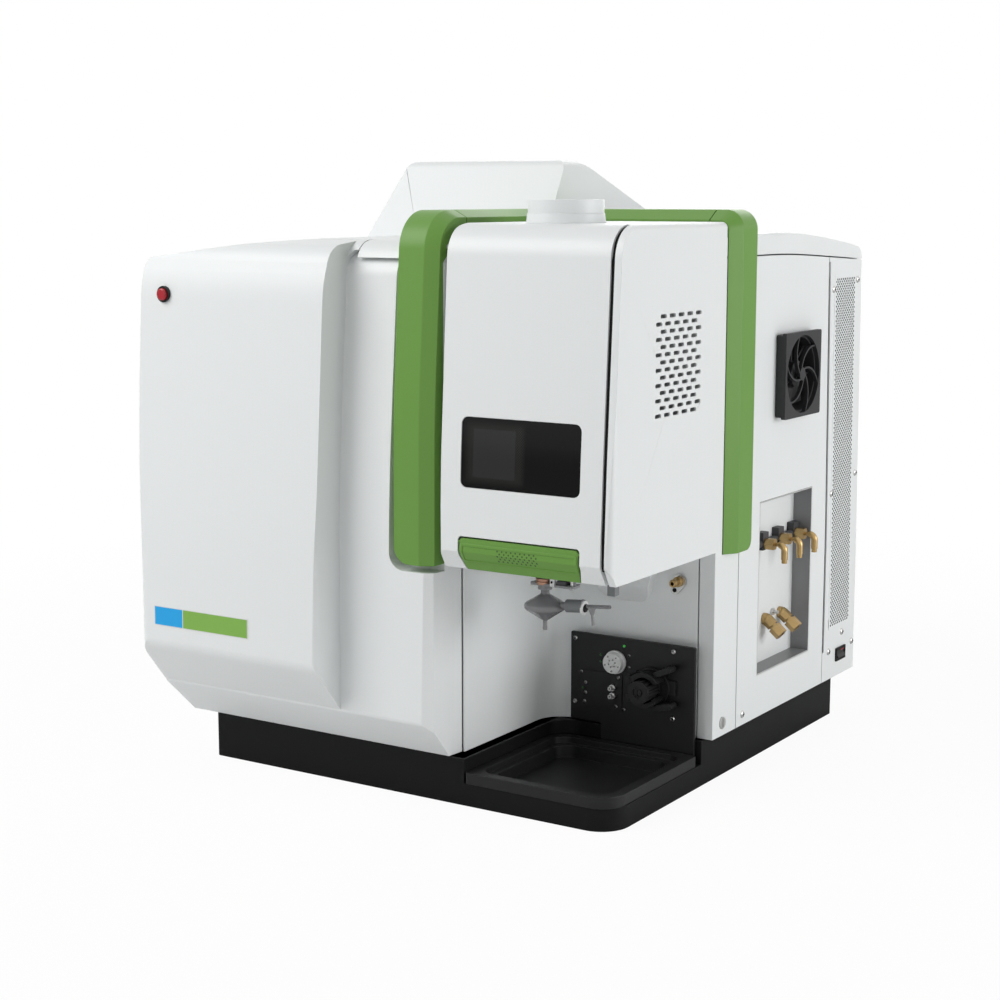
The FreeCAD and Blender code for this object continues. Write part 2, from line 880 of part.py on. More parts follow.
def handle_space(grow):
    left = torch_left + window_inset - grow
    right = left + window_width + 2 * grow
    bottom = torch_floor_height - 10
    top = torch_floor_height + handle_height + 5 + grow
    corners = [(left, top, 5), (right, top, 5), (right, torch_floor_height + torch_chin_rise - 6),
               (right - 6 - grow, bottom), (left + 6 + grow, bottom), (left, torch_floor_height + torch_chin_rise - 6)]
    return slab(corners, "y", body_front - 30, body_front + 60)


def door_handle():
    """Grip bar with a raised rim and rows of dimples, curled under the door's chin."""
    bar = door_skin(0.4, handle_depth).common(handle_space(0)).common(
        tall_box(torch_left, door_right, -900, body_front + door_depth))
    left = torch_left + window_inset
    pin = rod(V(left - handle_gap + 0.1, handle_axis_y, handle_axis_z),
              V(left + window_width + handle_gap - 0.1, handle_axis_y, handle_axis_z), 1.4)
    return joined([bar, pin])


def torch_box():
    """Fixed housing of the torch: open at the front, slotted on its right side."""
    box = torch_form().cut(torch_form(torch_wall).cut(
        block(door_right + door_gap, torch_right + 5, body_front - 20, body_front + door_depth, 0, 900)))
    box = box.cut(door_zone(0.0).fuse(block(torch_left - 5, door_right + door_gap, body_front - 60,
                                            body_front + door_depth + 1.5, 0, torch_height - 44)))
    over = hinge_y + door_hinge_gap / 2
    box = box.cut(block(torch_left - 5, door_right + door_gap, body_front - 60, over,
                        torch_height - 44, torch_height + 5))
    slots = []
    start = body_front + 20 + vent_inset
    for row in range(vent_rows):
        for column in range(vent_columns):
            y = start + column * vent_pitch_y + (vent_pitch_y / 2 if row % 2 else 0)
            z = vent_height + row * vent_pitch_z
            slots.append(side_plate(y, y + vent_length, z, z + vent_slot, vent_slot * 0.48,
                                    torch_right - 10, torch_right + 5))
    box = box.cut(Part.makeCompound(slots))
    box = box.cut(rod(V(axis_x, axis_y, 0), V(axis_x, axis_y, torch_floor_height + 20), 14))
    return box.cut(rod(V(collar_x, collar_y, 700), V(collar_x, collar_y, 900), collar_radius - collar_wall))


def hinge_pin():
    over = hinge_y + door_hinge_gap / 2
    centre = over - knuckle_clearance - hinge_pin_radius
    return rod(V(torch_left + 14, centre, hinge_z), V(door_right - 10, centre, hinge_z), hinge_pin_radius)


def exhaust_collar():
    top = torch_height + collar_rise
    tube = rod(V(collar_x, collar_y, torch_height), V(collar_x, collar_y, top), collar_radius)
    foot = cone(V(collar_x, collar_y, torch_height), V(collar_x, collar_y, torch_height + collar_foot_rise),
                collar_foot_radius, collar_foot_radius - 1.5)
    bore = rod(V(collar_x, collar_y, torch_height - 5), V(collar_x, collar_y, top + 5), collar_radius - collar_wall)
    return joined([tube, foot]).cut(bore)


def torch_tube():
    """Quartz torch: three tubes in one piece, with its side arm for the plasma gas."""
    low = torch_floor_height + 6
    high = torch_floor_height + 150
    wall = torch_glass_wall
    outer = ring(V(axis_x, axis_y, low + 30), V(axis_x, axis_y, high), torch_radius, torch_radius - wall)
    inner = ring(V(axis_x, axis_y, low), V(axis_x, axis_y, high - 24), torch_radius - 3, torch_radius - 3 - wall)
    web = ring(V(axis_x, axis_y, low + 30), V(axis_x, axis_y, low + 34), torch_radius, torch_radius - 3 - wall)
    core = ring(V(axis_x, axis_y, low - 6), V(axis_x, axis_y, high - 34), 2.6, 1.2)
    foot = ring(V(axis_x, axis_y, low), V(axis_x, axis_y, low + 4), torch_radius - 3, 1.2)
    return joined([outer, inner, web, core, foot])


def load_coil():
    """Two flat induction plates on the back wall, bored for the torch and slit to the rear."""
    plates = []
    back = torch_back - torch_wall
    for height in (torch_floor_height + 118, torch_floor_height + 128):
        plate = floor_plate(axis_x - 24, axis_x + 24, axis_y - 24, back, 8, height, height + 3)
        plate = plate.cut(rod(V(axis_x, axis_y, height - 5), V(axis_x, axis_y, height + 8), torch_radius + 4))
        plate = plate.cut(block(axis_x - 1.5, axis_x + 1.5, axis_y + 10, back - 20, height - 5, height + 8))
        plates.append(plate)
    return Part.makeCompound(plates)


def torch_mount():
    """Split clamp block that holds the torch above the floor of its box."""
    low = torch_floor_height + torch_wall
    body = floor_plate(axis_x - 30, axis_x + 30, axis_y - 28, axis_y + 28, 8, low, low + 26)
    body = body.cut(rod(V(axis_x, axis_y, low - 5), V(axis_x, axis_y, low + 40), torch_radius - 3 + fit_gap))
    return body


# Fan

def curved_rib(angle, inner, outer, turn, thickness):
    """Crescent rib in the YZ plane, swept from the hub to the rim."""
    def spot(radius, at):
        return V(0, radius * math.cos(at), radius * math.sin(at))
    half_in = thickness / 2 / inner
    half_mid = thickness / 2 / ((inner + outer) / 2)
    half_out = thickness / 2 / outer
    middle = (inner + outer) / 2
    first = Part.Arc(spot(inner, angle - half_in), spot(middle, angle + turn * 0.66 - half_mid),
                     spot(outer, angle + turn - half_out)).toShape()
    second = Part.Arc(spot(outer, angle + turn + half_out), spot(middle, angle + turn * 0.66 + half_mid),
                      spot(inner, angle + half_in)).toShape()
    end = Part.LineSegment(first.Vertexes[-1].Point, second.Vertexes[0].Point).toShape()
    close = Part.LineSegment(second.Vertexes[-1].Point, first.Vertexes[0].Point).toShape()
    return Part.Face(Part.Wire([first, end, second, close]))


def fan_frame():
    x0 = body_right
    x1 = body_right + fan_frame_depth
    half = fan_size / 2
    plate = side_plate(fan_y - half + 2, fan_y + half - 2, fan_z - half + 2, fan_z + half - 2, 4, x0, x1)
    centre = V(0, fan_y, fan_z)
    sleeve = rod(centre + V(body_right - fan_body_depth, 0, 0), centre + V(x0, 0, 0), fan_bore_radius)
    body = plate.fuse(sleeve)
    bore = rod(centre + V(body_right - fan_body_depth - 5, 0, 0), centre + V(x1 + 5, 0, 0), fan_bore_radius - 3)
    body = body.cut(bore)
    start = body_right - fan_body_depth
    motor = rod(centre + V(start, 0, 0), centre + V(start + 4, 0, 0), fan_hub_radius)
    arms = []
    for index in range(4):
        arm = block(start, start + 4, fan_y - 2.5, fan_y + 2.5, fan_z, fan_z + fan_bore_radius - 1)
        arm.rotate(centre, V(1, 0, 0), 45 + 90 * index)
        arms.append(arm)
    stub = rod(centre + V(start + 4, 0, 0), centre + V(start + 12, 0, 0), 3)
    return joined([body, motor, stub] + arms)


def fan_rotor():
    centre = V(0, fan_y, fan_z)
    start = body_right - fan_body_depth + 4.5
    end = body_right + fan_frame_depth - 4
    hub = rod(centre + V(start, 0, 0), centre + V(end, 0, 0), fan_hub_radius - 0.5)
    blades = []
    length = fan_bore_radius - 3 - fan_tip_gap - fan_hub_radius + 3
    middle = (start + end) / 2
    for index in range(fan_blades):
        blade = block(-1, 1, -11, 11, fan_hub_radius - 3, fan_hub_radius - 3 + length)
        blade.rotate(V(0, 0, 0), V(0, 0, 1), 42)
        blade.translate(V(middle, 0, 0))
        blade.rotate(V(0, 0, 0), V(1, 0, 0), index * 360 / fan_blades)
        blade.translate(centre)
        blades.append(blade)
    sweep = ring(centre + V(start, 0, 0), centre + V(end, 0, 0), fan_bore_radius - 3 - fan_tip_gap, 1)
    rotor = joined([hub] + [blade.common(sweep) for blade in blades])
    return rotor.cut(rod(centre + V(start - 1, 0, 0), centre + V(start + 8, 0, 0), 3 + fit_gap))


def fan_guard():
    """Square guard whose ribs swirl out from a small hub below and beside the centre."""
    x0 = body_right + fan_frame_depth
    half = fan_size / 2
    plate = side_plate(fan_y - half, fan_y + half, fan_z - half, fan_z + half, 3, x0, x0 + fan_guard_depth)
    centre = V(0, fan_y, fan_z)
    plate = plate.cut(rod(centre + V(x0 - 5, 0, 0), centre + V(x0 + 20, 0, 0), fan_bore_radius))
    hub = rod(centre + V(x0, 0, 0), centre + V(x0 + fan_guard_depth - 1, 0, 0), guard_hub_radius)
    ribs = []
    for index in range(guard_ribs):
        face = curved_rib(math.radians(index * 360 / guard_ribs), guard_hub_radius - 1.5, fan_bore_radius + 1,
                          math.radians(-78), guard_rib)
        rib = face.extrude(V(fan_guard_depth - 1, 0, 0))
        rib.translate(centre + V(x0, 0, 0))
        ribs.append(rib)
    return joined([plate, hub] + ribs)


# Gas and water services

def recess_back():
    """The face on which the fittings of the recess stand."""
    return body_right - recess_depth + recess_sheet


def recess_box():
    outer = block(body_right - recess_depth, body_right, recess_front + fit_gap, recess_rear - fit_gap,
                  recess_bottom + fit_gap, recess_top - fit_gap)
    inner = block(recess_back(), body_right + 5, recess_front + recess_sheet,
                  recess_rear - recess_sheet, recess_bottom + recess_sheet, recess_top - recess_sheet)
    y = water_first + water_pitch / 2
    seat = V(recess_back() - 1, y, stud_height)
    stud = joined([hexagon(seat, seat + V(5, 0, 0), 5.5), rod(seat, seat + V(12, 0, 0), 2.5)])
    return joined([outer.cut(inner), stud])


def gas_manifold():
    """Bar along the back of the recess with an upright block behind each gas fitting."""
    back = recess_back()
    last = gas_first + 2 * gas_pitch
    axis_x = back + manifold_bar_radius
    pieces = [rod(V(axis_x, manifold_left, gas_height), V(axis_x, last, gas_height), manifold_bar_radius)]
    for index in range(3):
        y = gas_first + index * gas_pitch
        pieces.append(block(back, back + manifold_depth, y - manifold_block_half, y + manifold_block_half,
                            gas_height - manifold_block_below, gas_height + manifold_block_above))
    return joined(pieces)


def elbow(y, z, start):
    """Gas fitting: hexagon nut, thin neck, and an elbow whose outlet points down."""
    radius = gas_tube_radius
    nut_end = start + gas_nut_length
    neck_end = nut_end + gas_neck_length
    nut = hexagon(V(start, y, z), V(nut_end, y, z), gas_nut_radius)
    neck = rod(V(nut_end, y, z), V(neck_end, y, z), 2.6)
    shoulder = cone(V(neck_end, y, z), V(neck_end + 1.5, y, z), 2.6, radius)
    bend_centre = V(neck_end + 1.5, y, z - gas_bend_radius)
    corner = Part.makeTorus(gas_bend_radius, radius, bend_centre, V(0, 1, 0))
    corner = corner.common(block(bend_centre.x, bend_centre.x + 40, y - 20, y + 20, bend_centre.z, z + 20))
    down_x = bend_centre.x + gas_bend_radius
    step = gas_outlet_end + gas_tail_length
    outlet = rod(V(down_x, y, bend_centre.z), V(down_x, y, step), radius)
    tail = rod(V(down_x, y, step), V(down_x, y, gas_outlet_end), gas_tail_radius)
    body = joined([nut, neck, shoulder, corner, outlet, tail])
    return body.cut(rod(V(down_x, y, gas_outlet_end - 5), V(down_x, y, gas_outlet_end + 12), 2.2))


def gas_elbows():
    start = recess_back() + manifold_depth
    return Part.makeCompound([elbow(gas_first + index * gas_pitch, gas_height, start) for index in range(3)])


def water_fitting(y):
    """Cooling fitting: round foot, hexagon body turned down, neck and a union nut."""
    tilt = math.radians(water_tilt)
    way = V(math.cos(tilt), 0, -math.sin(tilt))
    back = recess_back()
    start = V(back + 5, y, water_height)
    foot = rod(V(back, y, water_height), start, 8.5)
    ball = Part.makeSphere(8.2, start)
    ball = ball.cut(block(back - 30, back, y - 20, y + 20, water_height - 20, water_height + 20))
    first = hexagon(start, start + way * 13, 8.8)
    neck = rod(start + way * 13, start + way * 15.5, 6.2)
    nut = hexagon(start + way * 15.5, start + way * 31, 9.8)
    body = joined([foot, ball, first, neck, nut])
    return body.cut(rod(start + way * 14, start + way * 36, water_bore_radius))


def water_fittings():
    return Part.makeCompound([water_fitting(water_first + index * water_pitch) for index in range(2)])


# Bay

def bay_wall():
    """Folded wall of the bay: side, rounded inner corner and back with a moulded pad."""
    plan = [(bay_left, cover_seam + seam_gap), (bay_left, bay_back, bay_corner_radius),
            (column_left - seam_gap, bay_back), (column_left - seam_gap, bay_back + bay_sheet),
            (bay_left - bay_sheet, bay_back + bay_sheet, bay_corner_radius + bay_sheet),
            (bay_left - bay_sheet, cover_seam + seam_gap)]
    wall = slab(plan, "z", base_height, torch_floor_height - fit_gap)
    right = column_left - seam_gap - bay_pad_inset + 24
    low = torch_floor_height - bay_pad_height
    pad_front = [(right - bay_pad_width, low, 22), (right - 22, low, 22), (right, torch_floor_height - fit_gap),
                 (right - bay_pad_width, torch_floor_height - fit_gap)]
    pad = slab(pad_front, "y", bay_back - bay_pad_depth, bay_back + 1)
    slope = [(bay_back + 1, low - 1), (bay_back + 1, torch_floor_height), (bay_back - bay_pad_depth, torch_floor_height),
             (bay_back - bay_pad_depth, low + 24, 12), (bay_back - 2, low, 6)]
    pad = pad.common(slab(slope, "x", 0, 400))
    return joined([wall, pad])


def bay_port():
    """Brass hose tail on a steel flange, fixed to the bay's back wall."""
    x = 280.0
    z = 272.0
    flange = [(x - 6, z - 16, 6), (x + 8, z - 6, 6), (x + 8, z + 14, 6), (x - 6, z + 6, 6)]
    plate = slab(flange, "y", bay_back - 2, bay_back)
    boss = rod(V(x, bay_back - 2, z + 2), V(x, bay_back - 9, z + 2), 7)
    tail = rod(V(x, bay_back - 9, z + 2), V(x, bay_back - 22, z + 2), 5)
    return joined([plate, boss, tail]).cut(rod(V(x, bay_back - 30, z + 2), V(x, bay_back - 10, z + 2), 2.6))


def pump_plate():
    corners = [
        (plate_left, plate_notch_z, 2), (plate_notch_x, plate_notch_z, 2), (plate_notch_x, plate_bottom, 2),
        (plate_right, plate_bottom, 2), (plate_right, plate_top, 2), (plate_left, plate_top, 2)]
    plate = slab(corners, "y", plate_face, plate_face + plate_thickness)
    posts = []
    for x, z in plate_screw_spots():
        posts.append(rod(V(x, plate_face + plate_thickness - 1, z), V(x, bay_back, z), 5))
    return joined([plate] + posts)


def plate_screw_spots():
    left = plate_left + 7
    right = plate_right - 32
    return [(left, plate_top - 9), (right, plate_top - 9), (left, plate_notch_z + 25), (right, plate_notch_z + 22)]


def pump_screws():
    heads = [screw_head(V(x, plate_face, z), V(0, -1, 0), 3.4) for x, z in plate_screw_spots()]
    for x, z in ((212, 166), (212, 149.5), (205.5, 90.5)):
        heads.append(screw_head(V(x, plate_face, z), V(0, -1, 0), 2.2))
    face = plate_face - 1.5
    for x, z in ((139, 135), (197, 134), (145.5, 120.5), (145.5, 106.5), (144, 94), (193, 93)):
        heads.append(screw_head(V(x, face, z), V(0, -1, 0), 2.6))
    return Part.makeCompound(heads)


def pump_subplate():
    plate = rounded_box(134, 202.5, 86.5, 138.5, 1.5, plate_face - 1.5, plate_face)
    return plate


def tube_fittings():
    fittings = []
    for z in (119.6, 108.4):
        body = rod(V(189.5, plate_face - 1.5, z), V(189.5, plate_face - 6.5, z), 4.6)
        tip = rod(V(189.5, plate_face - 6.5, z), V(189.5, plate_face - 13, z), 3)
        fittings.append(joined([body, tip]).cut(rod(V(189.5, plate_face - 20, z), V(189.5, plate_face - 7, z), 1.2)))
    return Part.makeCompound(fittings)


def indicator_lamps():
    spots = ((205, 178.8, 0), (168.6, 162, 0), (168.6, 153, 0), (142, 113, 1.5))
    lamps = []
    for x, z, lift in spots:
        face = plate_face - lift
        lamps.append(rod(V(x, face, z), V(x, face - 1.4, z), 1.7))
    return Part.makeCompound(lamps)


def valve_head():
    """White valve head: a thick disc with a ring of screws and a ring of ports."""
    centre = V(valve_x, plate_face, valve_z)
    collar = rod(centre, centre + V(0, -4, 0), valve_radius + 2.2)
    head = rod(centre + V(0, -4, 0), centre + V(0, -valve_depth, 0), valve_radius)
    body = joined([collar, head])
    for index in range(6):
        angle = math.radians(60 * index + 15)
        x = valve_x + 5.2 * math.cos(angle)
        z = valve_z + 5.2 * math.sin(angle)
        body = body.cut(rod(V(x, plate_face - valve_depth - 1, z), V(x, plate_face - valve_depth + 4, z), 1.3))
    return body


def valve_screws():
    heads = []
    for index in range(5):
        angle = math.radians(72 * index + 40)
        x = valve_x + (valve_radius - 3) * math.cos(angle)
        z = valve_z + (valve_radius - 3) * math.sin(angle)
        heads.append(screw_head(V(x, plate_face - valve_depth, z), V(0, -1, 0), 1.9))
    return Part.makeCompound(heads)


def clamp_pivot(upper):
    """Centre (x, z) of the ear that carries one jaw."""
    angle = math.radians(pivot_angle if upper else -pivot_angle)
    return pump_x + pivot_radius * math.cos(angle), pump_z + pivot_radius * math.sin(angle)


def pump_body():
    """Round foot of the pump with its shaft and the two pins of the jaws."""
    centre = V(pump_x, plate_face, pump_z)
    foot = rod(centre, centre + V(0, -6, 0), pump_body_radius)
    shaft = rod(centre + V(0, -5, 0), centre + V(0, -6 - drum_depth + 2, 0), 3)
    extras = []
    for upper in (True, False):
        x, z = clamp_pivot(upper)
        extras.append(rod(V(x, plate_face, z), V(x, plate_face - 6, z), 7))
        extras.append(rod(V(x, plate_face - 5, z), V(x, plate_face - 6 - clamp_depth - 1.5, z), 2.5))
    rest = block(pump_x + 20, pump_x + 36, plate_face - 4, plate_face, pump_z - 8, pump_z + 12)
    return joined([foot, shaft, rest] + extras)


def pump_drum():
    """Fluted drum with a slotted screw at its centre."""
    back = plate_face - 7
    front = back - drum_depth - 4
    flutes = []
    for index in range(drum_ribs * 4):
        angle = math.radians(360 / drum_ribs / 4 * (index + 0.5))
        radius = drum_radius - (0.3 if index % 4 < 2 else 2.2)
        flutes.append((pump_x + radius * math.cos(angle), pump_z + radius * math.sin(angle)))
    core = slab(flutes, "y", front + 2, back - 2)
    cap = rod(V(pump_x, front + 3, pump_z), V(pump_x, front, pump_z), drum_radius)
    foot = rod(V(pump_x, back, pump_z), V(pump_x, back - 3, pump_z), drum_radius)
    drum = core.fuse([cap, foot])
    drum = drum.cut(ring(V(pump_x, front - 1, pump_z), V(pump_x, front + 1.8, pump_z), 7.5, 5))
    drum = drum.cut(block(pump_x - 0.8, pump_x + 0.8, front - 1, front + 1, pump_z - 4.2, pump_z + 4.2))
    return drum.cut(rod(V(pump_x, back + 1, pump_z), V(pump_x, front + 5, pump_z), 3 + fit_gap))


def sector(start, end, radius, y0, y1):
    """Wedge about the pump's axis between two angles in degrees."""
    points = [(pump_x, pump_z)]
    steps = 8
    for index in range(steps + 1):
        angle = math.radians(start + (end - start) * index / steps)
        points.append((pump_x + radius * math.cos(angle), pump_z + radius * math.sin(angle)))
    return slab(points, "y", y0, y1)


def pump_clamp(upper):
    """Curved jaw hung on a pin of the pump, with a ribbed grip at its free end."""
    sign = 1 if upper else -1
    y1 = plate_face - 6 - fit_gap
    y0 = y1 - clamp_depth
    jaw = ring(V(pump_x, y0, pump_z), V(pump_x, y1, pump_z), jaw_outer, jaw_inner)
    jaw = jaw.common(sector(sign * 30, sign * pivot_angle, jaw_outer + 20, y0 - 1, y1 + 1))
    x, z = clamp_pivot(upper)
    eye = rod(V(x, y0, z), V(x, y1, z), 5.6)
    root_x = pump_x + 12
    root_z = pump_z + sign * (21 if upper else 24)
    depth = y1 - clamp_depth * 0.7
    grip = block(root_x, root_x + clamp_reach, depth, y1, root_z - clamp_width / 2, root_z + clamp_width / 2)
    ribs = []
    for index in range(4):
        rib_x = root_x + clamp_reach - 3 - index * 5
        ribs.append(rod(V(rib_x, depth - 1.2, root_z), V(rib_x, y1, root_z), clamp_width / 2 + 0.9))
    grip = joined([grip] + ribs)
    grip.rotate(V(root_x, 0, root_z), V(0, -1, 0), 24 if upper else 12)
    arm = joined([jaw, eye, grip])
    drum_room = rod(V(pump_x, y0 - 5, pump_z), V(pump_x, y1 + 5, pump_z), jaw_inner)
    return arm.cut(drum_room).cut(rod(V(x, y0 - 1, z), V(x, y1 + 1, z), 2.5 + 0.06))


def drip_tray():
    """Moulded tray: turned-down rim, a wide step and a rounded well."""
    x0 = tray_left
    x1 = base_right - tray_clearance
    y0 = base_front - tray_clearance
    y1 = tray_back
    radius = tray_corner_radius
    top = tray_rim_height
    wall = tray_wall
    near = tray_edge_radius
    rim = [(x0, y0, near), (x1, y0, radius), (x1, y1, near), (x0, y1, radius)]
    skirt = slab(rim, "z", top - tray_skirt_height, top)
    inside = [(x0 + wall, y0 + wall, near), (x1 - wall, y0 + wall, radius - wall), (x1 - wall, y1 - wall, near),
              (x0 + wall, y1 - wall, radius - wall)]
    skirt = skirt.cut(slab(inside, "z", 0, top - wall))
    lip = tray_lip
    outer = floor_plate(x0 + lip, x1 - lip, y0 + lip, y1 - lip, radius - lip, top - tray_well_depth, top)
    shelf = floor_plate(x0 + lip + wall, x1 - lip - wall, y0 + lip + wall, y1 - lip - wall, radius - lip - wall,
                        top - tray_step_depth, top + 5)
    step = lip + wall + tray_step
    well = floor_plate(x0 + step, x1 - step, y0 + step, y1 - step, radius - lip, top - tray_well_depth + wall,
                       top + 5)
    under = floor_plate(x0 + lip - 1, x1 - lip + 1, y0 + lip - 1, y1 - lip + 1, radius - lip, 0,
                        top - tray_step_depth - wall)
    under = under.cut(floor_plate(x0 + step - wall, x1 - step + wall, y0 + step - wall, y1 - step + wall,
                                  radius - lip + wall, 0, top))
    return joined([skirt, outer]).cut(shelf).cut(well).cut(under)


def tilted(shape):
    """Turn the side arm's parts about the chamber's centre."""
    shape.rotate(V(axis_x, axis_y, chamber_z), V(0, -1, 0), arm_tilt)
    return shape


def spray_chamber():
    """Blown glass chamber: double cone, neck above, drain below and a side arm."""
    wall = chamber_wall
    wide = chamber_radius
    section = [
        (3, -31), (3, -19), (wide, -3, 5), (wide, 3, 5), (5.5, 16, 3), (5.5, 26), (5.5 - wall, 26),
        (5.5 - wall, 15.2, 2), (wide - wall, 2.4, 3.8), (wide - wall, -2.4, 3.8), (3 - wall, -18.2), (3 - wall, -31)]
    glass = Part.Face(outline(section, "y")).revolve(V(0, 0, 0), V(0, 0, 1), 360)
    arm = rod(V(wide - 5, 0, 1), V(wide + 12, 0, 1), 4.6)
    bore = rod(V(wide - 12, 0, 1), V(wide + 20, 0, 1), 4.6 - wall)
    for piece in (arm, bore):
        piece.rotate(V(0, 0, 0), V(0, -1, 0), arm_tilt)
    glass = glass.fuse(arm.cut(rod(V(0, 0, -40), V(0, 0, 40), wide - wall))).cut(bore)
    glass.translate(V(axis_x, axis_y, chamber_z))
    return glass


def chamber_sleeve():
    start = axis_x + chamber_radius + 6
    z = chamber_z + 1
    body = ring(V(start, axis_y, z), V(start + 22, axis_y, z), 8.3, 4.6 + 0.1)
    cap = ring(V(start + 22, axis_y, z), V(start + 25, axis_y, z), 8.8, 2.6)
    return tilted(joined([body, cap]))


def nebuliser():
    start = axis_x + chamber_radius + 14
    z = chamber_z + 1
    tube = rod(V(start, axis_y, z), V(start + 55, axis_y, z), 2.4)
    knee = rod(V(start + 28, axis_y, z), V(start + 28, axis_y, z - 24), 2.0)
    flare = cone(V(start + 28, axis_y, z), V(start + 28, axis_y, z - 11), 6, 2.2)
    bore = rod(V(start - 2, axis_y, z), V(start + 60, axis_y, z), 1.0)
    return tilted(joined([tube, knee, flare]).cut(bore))


def chamber_clamp():
    """Ball joint clamp under the torch box: two plates, a white latch and a copper ring."""
    z = chamber_z + 26
    top = torch_floor_height
    plate = floor_plate(axis_x - 17, axis_x + 47, axis_y - 11, axis_y + 11, 4, z + 2, z + 5)
    upper = floor_plate(axis_x - 17, axis_x + 47, axis_y - 11, axis_y + 11, 4, z + 12, z + 15)
    neck = rod(V(axis_x, axis_y, z - 4), V(axis_x, axis_y, top + torch_wall), 9)
    post_a = rod(V(axis_x + 30, axis_y, z), V(axis_x + 30, axis_y, top), 3.5)
    post_b = rod(V(axis_x + 42, axis_y, z + 2), V(axis_x + 42, axis_y, top), 3.5)
    body = joined([plate, upper, neck, post_a, post_b])
    return body.cut(rod(V(axis_x, axis_y, z - 10), V(axis_x, axis_y, top + 20), 5.5 + 0.15))


def door_catch():
    x0 = torch_right - 42
    return block(x0, x0 + 11, axis_y - 26, axis_y - 14, torch_floor_height - 24, torch_floor_height)


# Small fittings on the covers

def button_ring():
    """Flange fitted to the leaning panel, with a sleeve through it."""
    y = button_face
    flange = rod(V(button_x, y - 3.5, button_z), V(button_x, y + 2.5, button_z), button_ring_radius)
    flange = flange.cut(panel_form())
    sleeve = rod(V(button_x, y - 3, button_z), V(button_x, y + 12, button_z), button_sleeve_radius)
    body = flange.fuse(sleeve)
    body = body.cut(rod(V(button_x, y - 10, button_z), V(button_x, y + 5, button_z), button_radius + fit_gap))
    return body.cut(rod(V(button_x, y - 10, button_z), V(button_x, y + 20, button_z), 4 + fit_gap))


def red_button():
    y = button_face
    cap = rod(V(button_x, y - 8, button_z), V(button_x, y, button_z), button_radius)
    stem = rod(V(button_x, y, button_z), V(button_x, y + 16, button_z), 4)
    return joined([cap.makeFillet(2.5, [edge for edge in cap.Edges if edge.CenterOfMass.y < y - 7.9]), stem])


def label_plate():
    y = body_front - panel_proud
    space = rounded_box(label_left, label_left + label_width, label_bottom, label_bottom + label_height, 1.5,
                        y - 20, y + 20)
    skin = panel_form().translated(V(0, -label_thickness, 0)).cut(panel_form())
    return skin.common(space)


def rocker_frame():
    x = body_right
    reach_y = rocker_width / 2 + rocker_lip
    reach_z = rocker_height / 2 + rocker_lip
    outer = side_plate(rocker_y - reach_y, rocker_y + reach_y, rocker_z - reach_z, rocker_z + reach_z, 1.2,
                       x, x + 2.5)
    body = block(x - 20, x, rocker_y - rocker_width / 2 + fit_gap, rocker_y + rocker_width / 2 - fit_gap,
                 rocker_z - rocker_height / 2 + fit_gap, rocker_z + rocker_height / 2 - fit_gap)
    hollow = block(x - 17, x + 5, rocker_y - rocker_width / 2 + 2, rocker_y + rocker_width / 2 - 2,
                   rocker_z - rocker_height / 2 + 2, rocker_z + rocker_height / 2 - 2)
    return joined([outer, body]).cut(hollow)


def rocker_key():
    """Key that stands out at its lower half and narrows towards the back."""
    x = body_right
    half_y = rocker_width / 2 - 2.5
    half_z = rocker_height / 2 - 2.7
    corners = [(x - 9, rocker_z - 3), (x + 0.5, rocker_z - half_z), (x + 4.5, rocker_z - half_z),
               (x + 1.5, rocker_z), (x + 1.2, rocker_z + half_z), (x + 0.5, rocker_z + half_z),
               (x - 9, rocker_z + 3)]
    return slab(corners, "y", rocker_y - half_y, rocker_y + half_y)


def lock_cam():
    centre = V(body_right, lock_y, lock_z)
    head = rod(centre + V(-12, 0, 0), centre + V(1.4, 0, 0), lock_radius)
    slot = block(body_right - 1, body_right + 5, lock_y - 1.2, lock_y + 1.2, lock_z - 6, lock_z + 6)
    tongue = block(body_right - 12, body_right - 9, lock_y - 5, lock_y + 5, lock_z - 4, lock_z + 20)
    return joined([head.cut(slot), tongue])


def side_screws():
    spots = [(278.6, 646), (366.1, 657.4), (289, 346), (377, 367), (343, 127.7), (382.5, 105.6), (294.4, 105.9), (1, 78)]
    return Part.makeCompound([screw_head(V(body_right, y, z), V(1, 0, 0), fastener_head) for y, z in spots])


# Inside the body

def optics_housing():
    """Cast housing of the optics: hollow, ribbed on top and standing on four feet."""
    x0, x1 = body_left + 62, bay_left - 54
    y0, y1 = cover_seam + 44, 150
    z0, z1 = 92, 560
    outer = floor_plate(x0, x1, y0, y1, 26, z0, z1)
    inner = floor_plate(x0 + 9, x1 - 9, y0 + 9, y1 - 9, 17, z0 + 9, z1 - 9)
    extras = []
    for index in range(4):
        x = x0 + 50 + index * (x1 - x0 - 100) / 3
        extras.append(block(x - 4, x + 4, y0 + 10, y1 - 10, z1 - 1, z1 + 9))
    for x in (x0 + 40, x1 - 40):
        for y in (y0 + 40, y1 - 40):
            extras.append(cone(V(x, y, base_height + floor_sheet), V(x, y, 93), 22, 15))
    return joined([outer.cut(inner)] + extras)


def rf_generator():
    x0, x1 = bay_left + 10, body_right - 100
    foot = base_height + floor_sheet
    body = floor_plate(x0, x1, -30, 200, 5, 380, 660)
    body = body.cut(floor_plate(x0 + 3, x1 - 3, -27, 197, 2, 383, 657))
    legs = [block(x, x + 12, y, y + 12, foot, 380) for x in (x0, x1 - 12) for y in (-30, 188)]
    return joined([body] + legs)


def power_supply():
    x0, x1 = bay_left + 30, body_right - 60
    foot = base_height + floor_sheet
    case = floor_plate(x0, x1, 225, 350, 5, foot, 250)
    return case.cut(floor_plate(x0 + 3, x1 - 3, 228, 347, 2, foot + 3, 247))


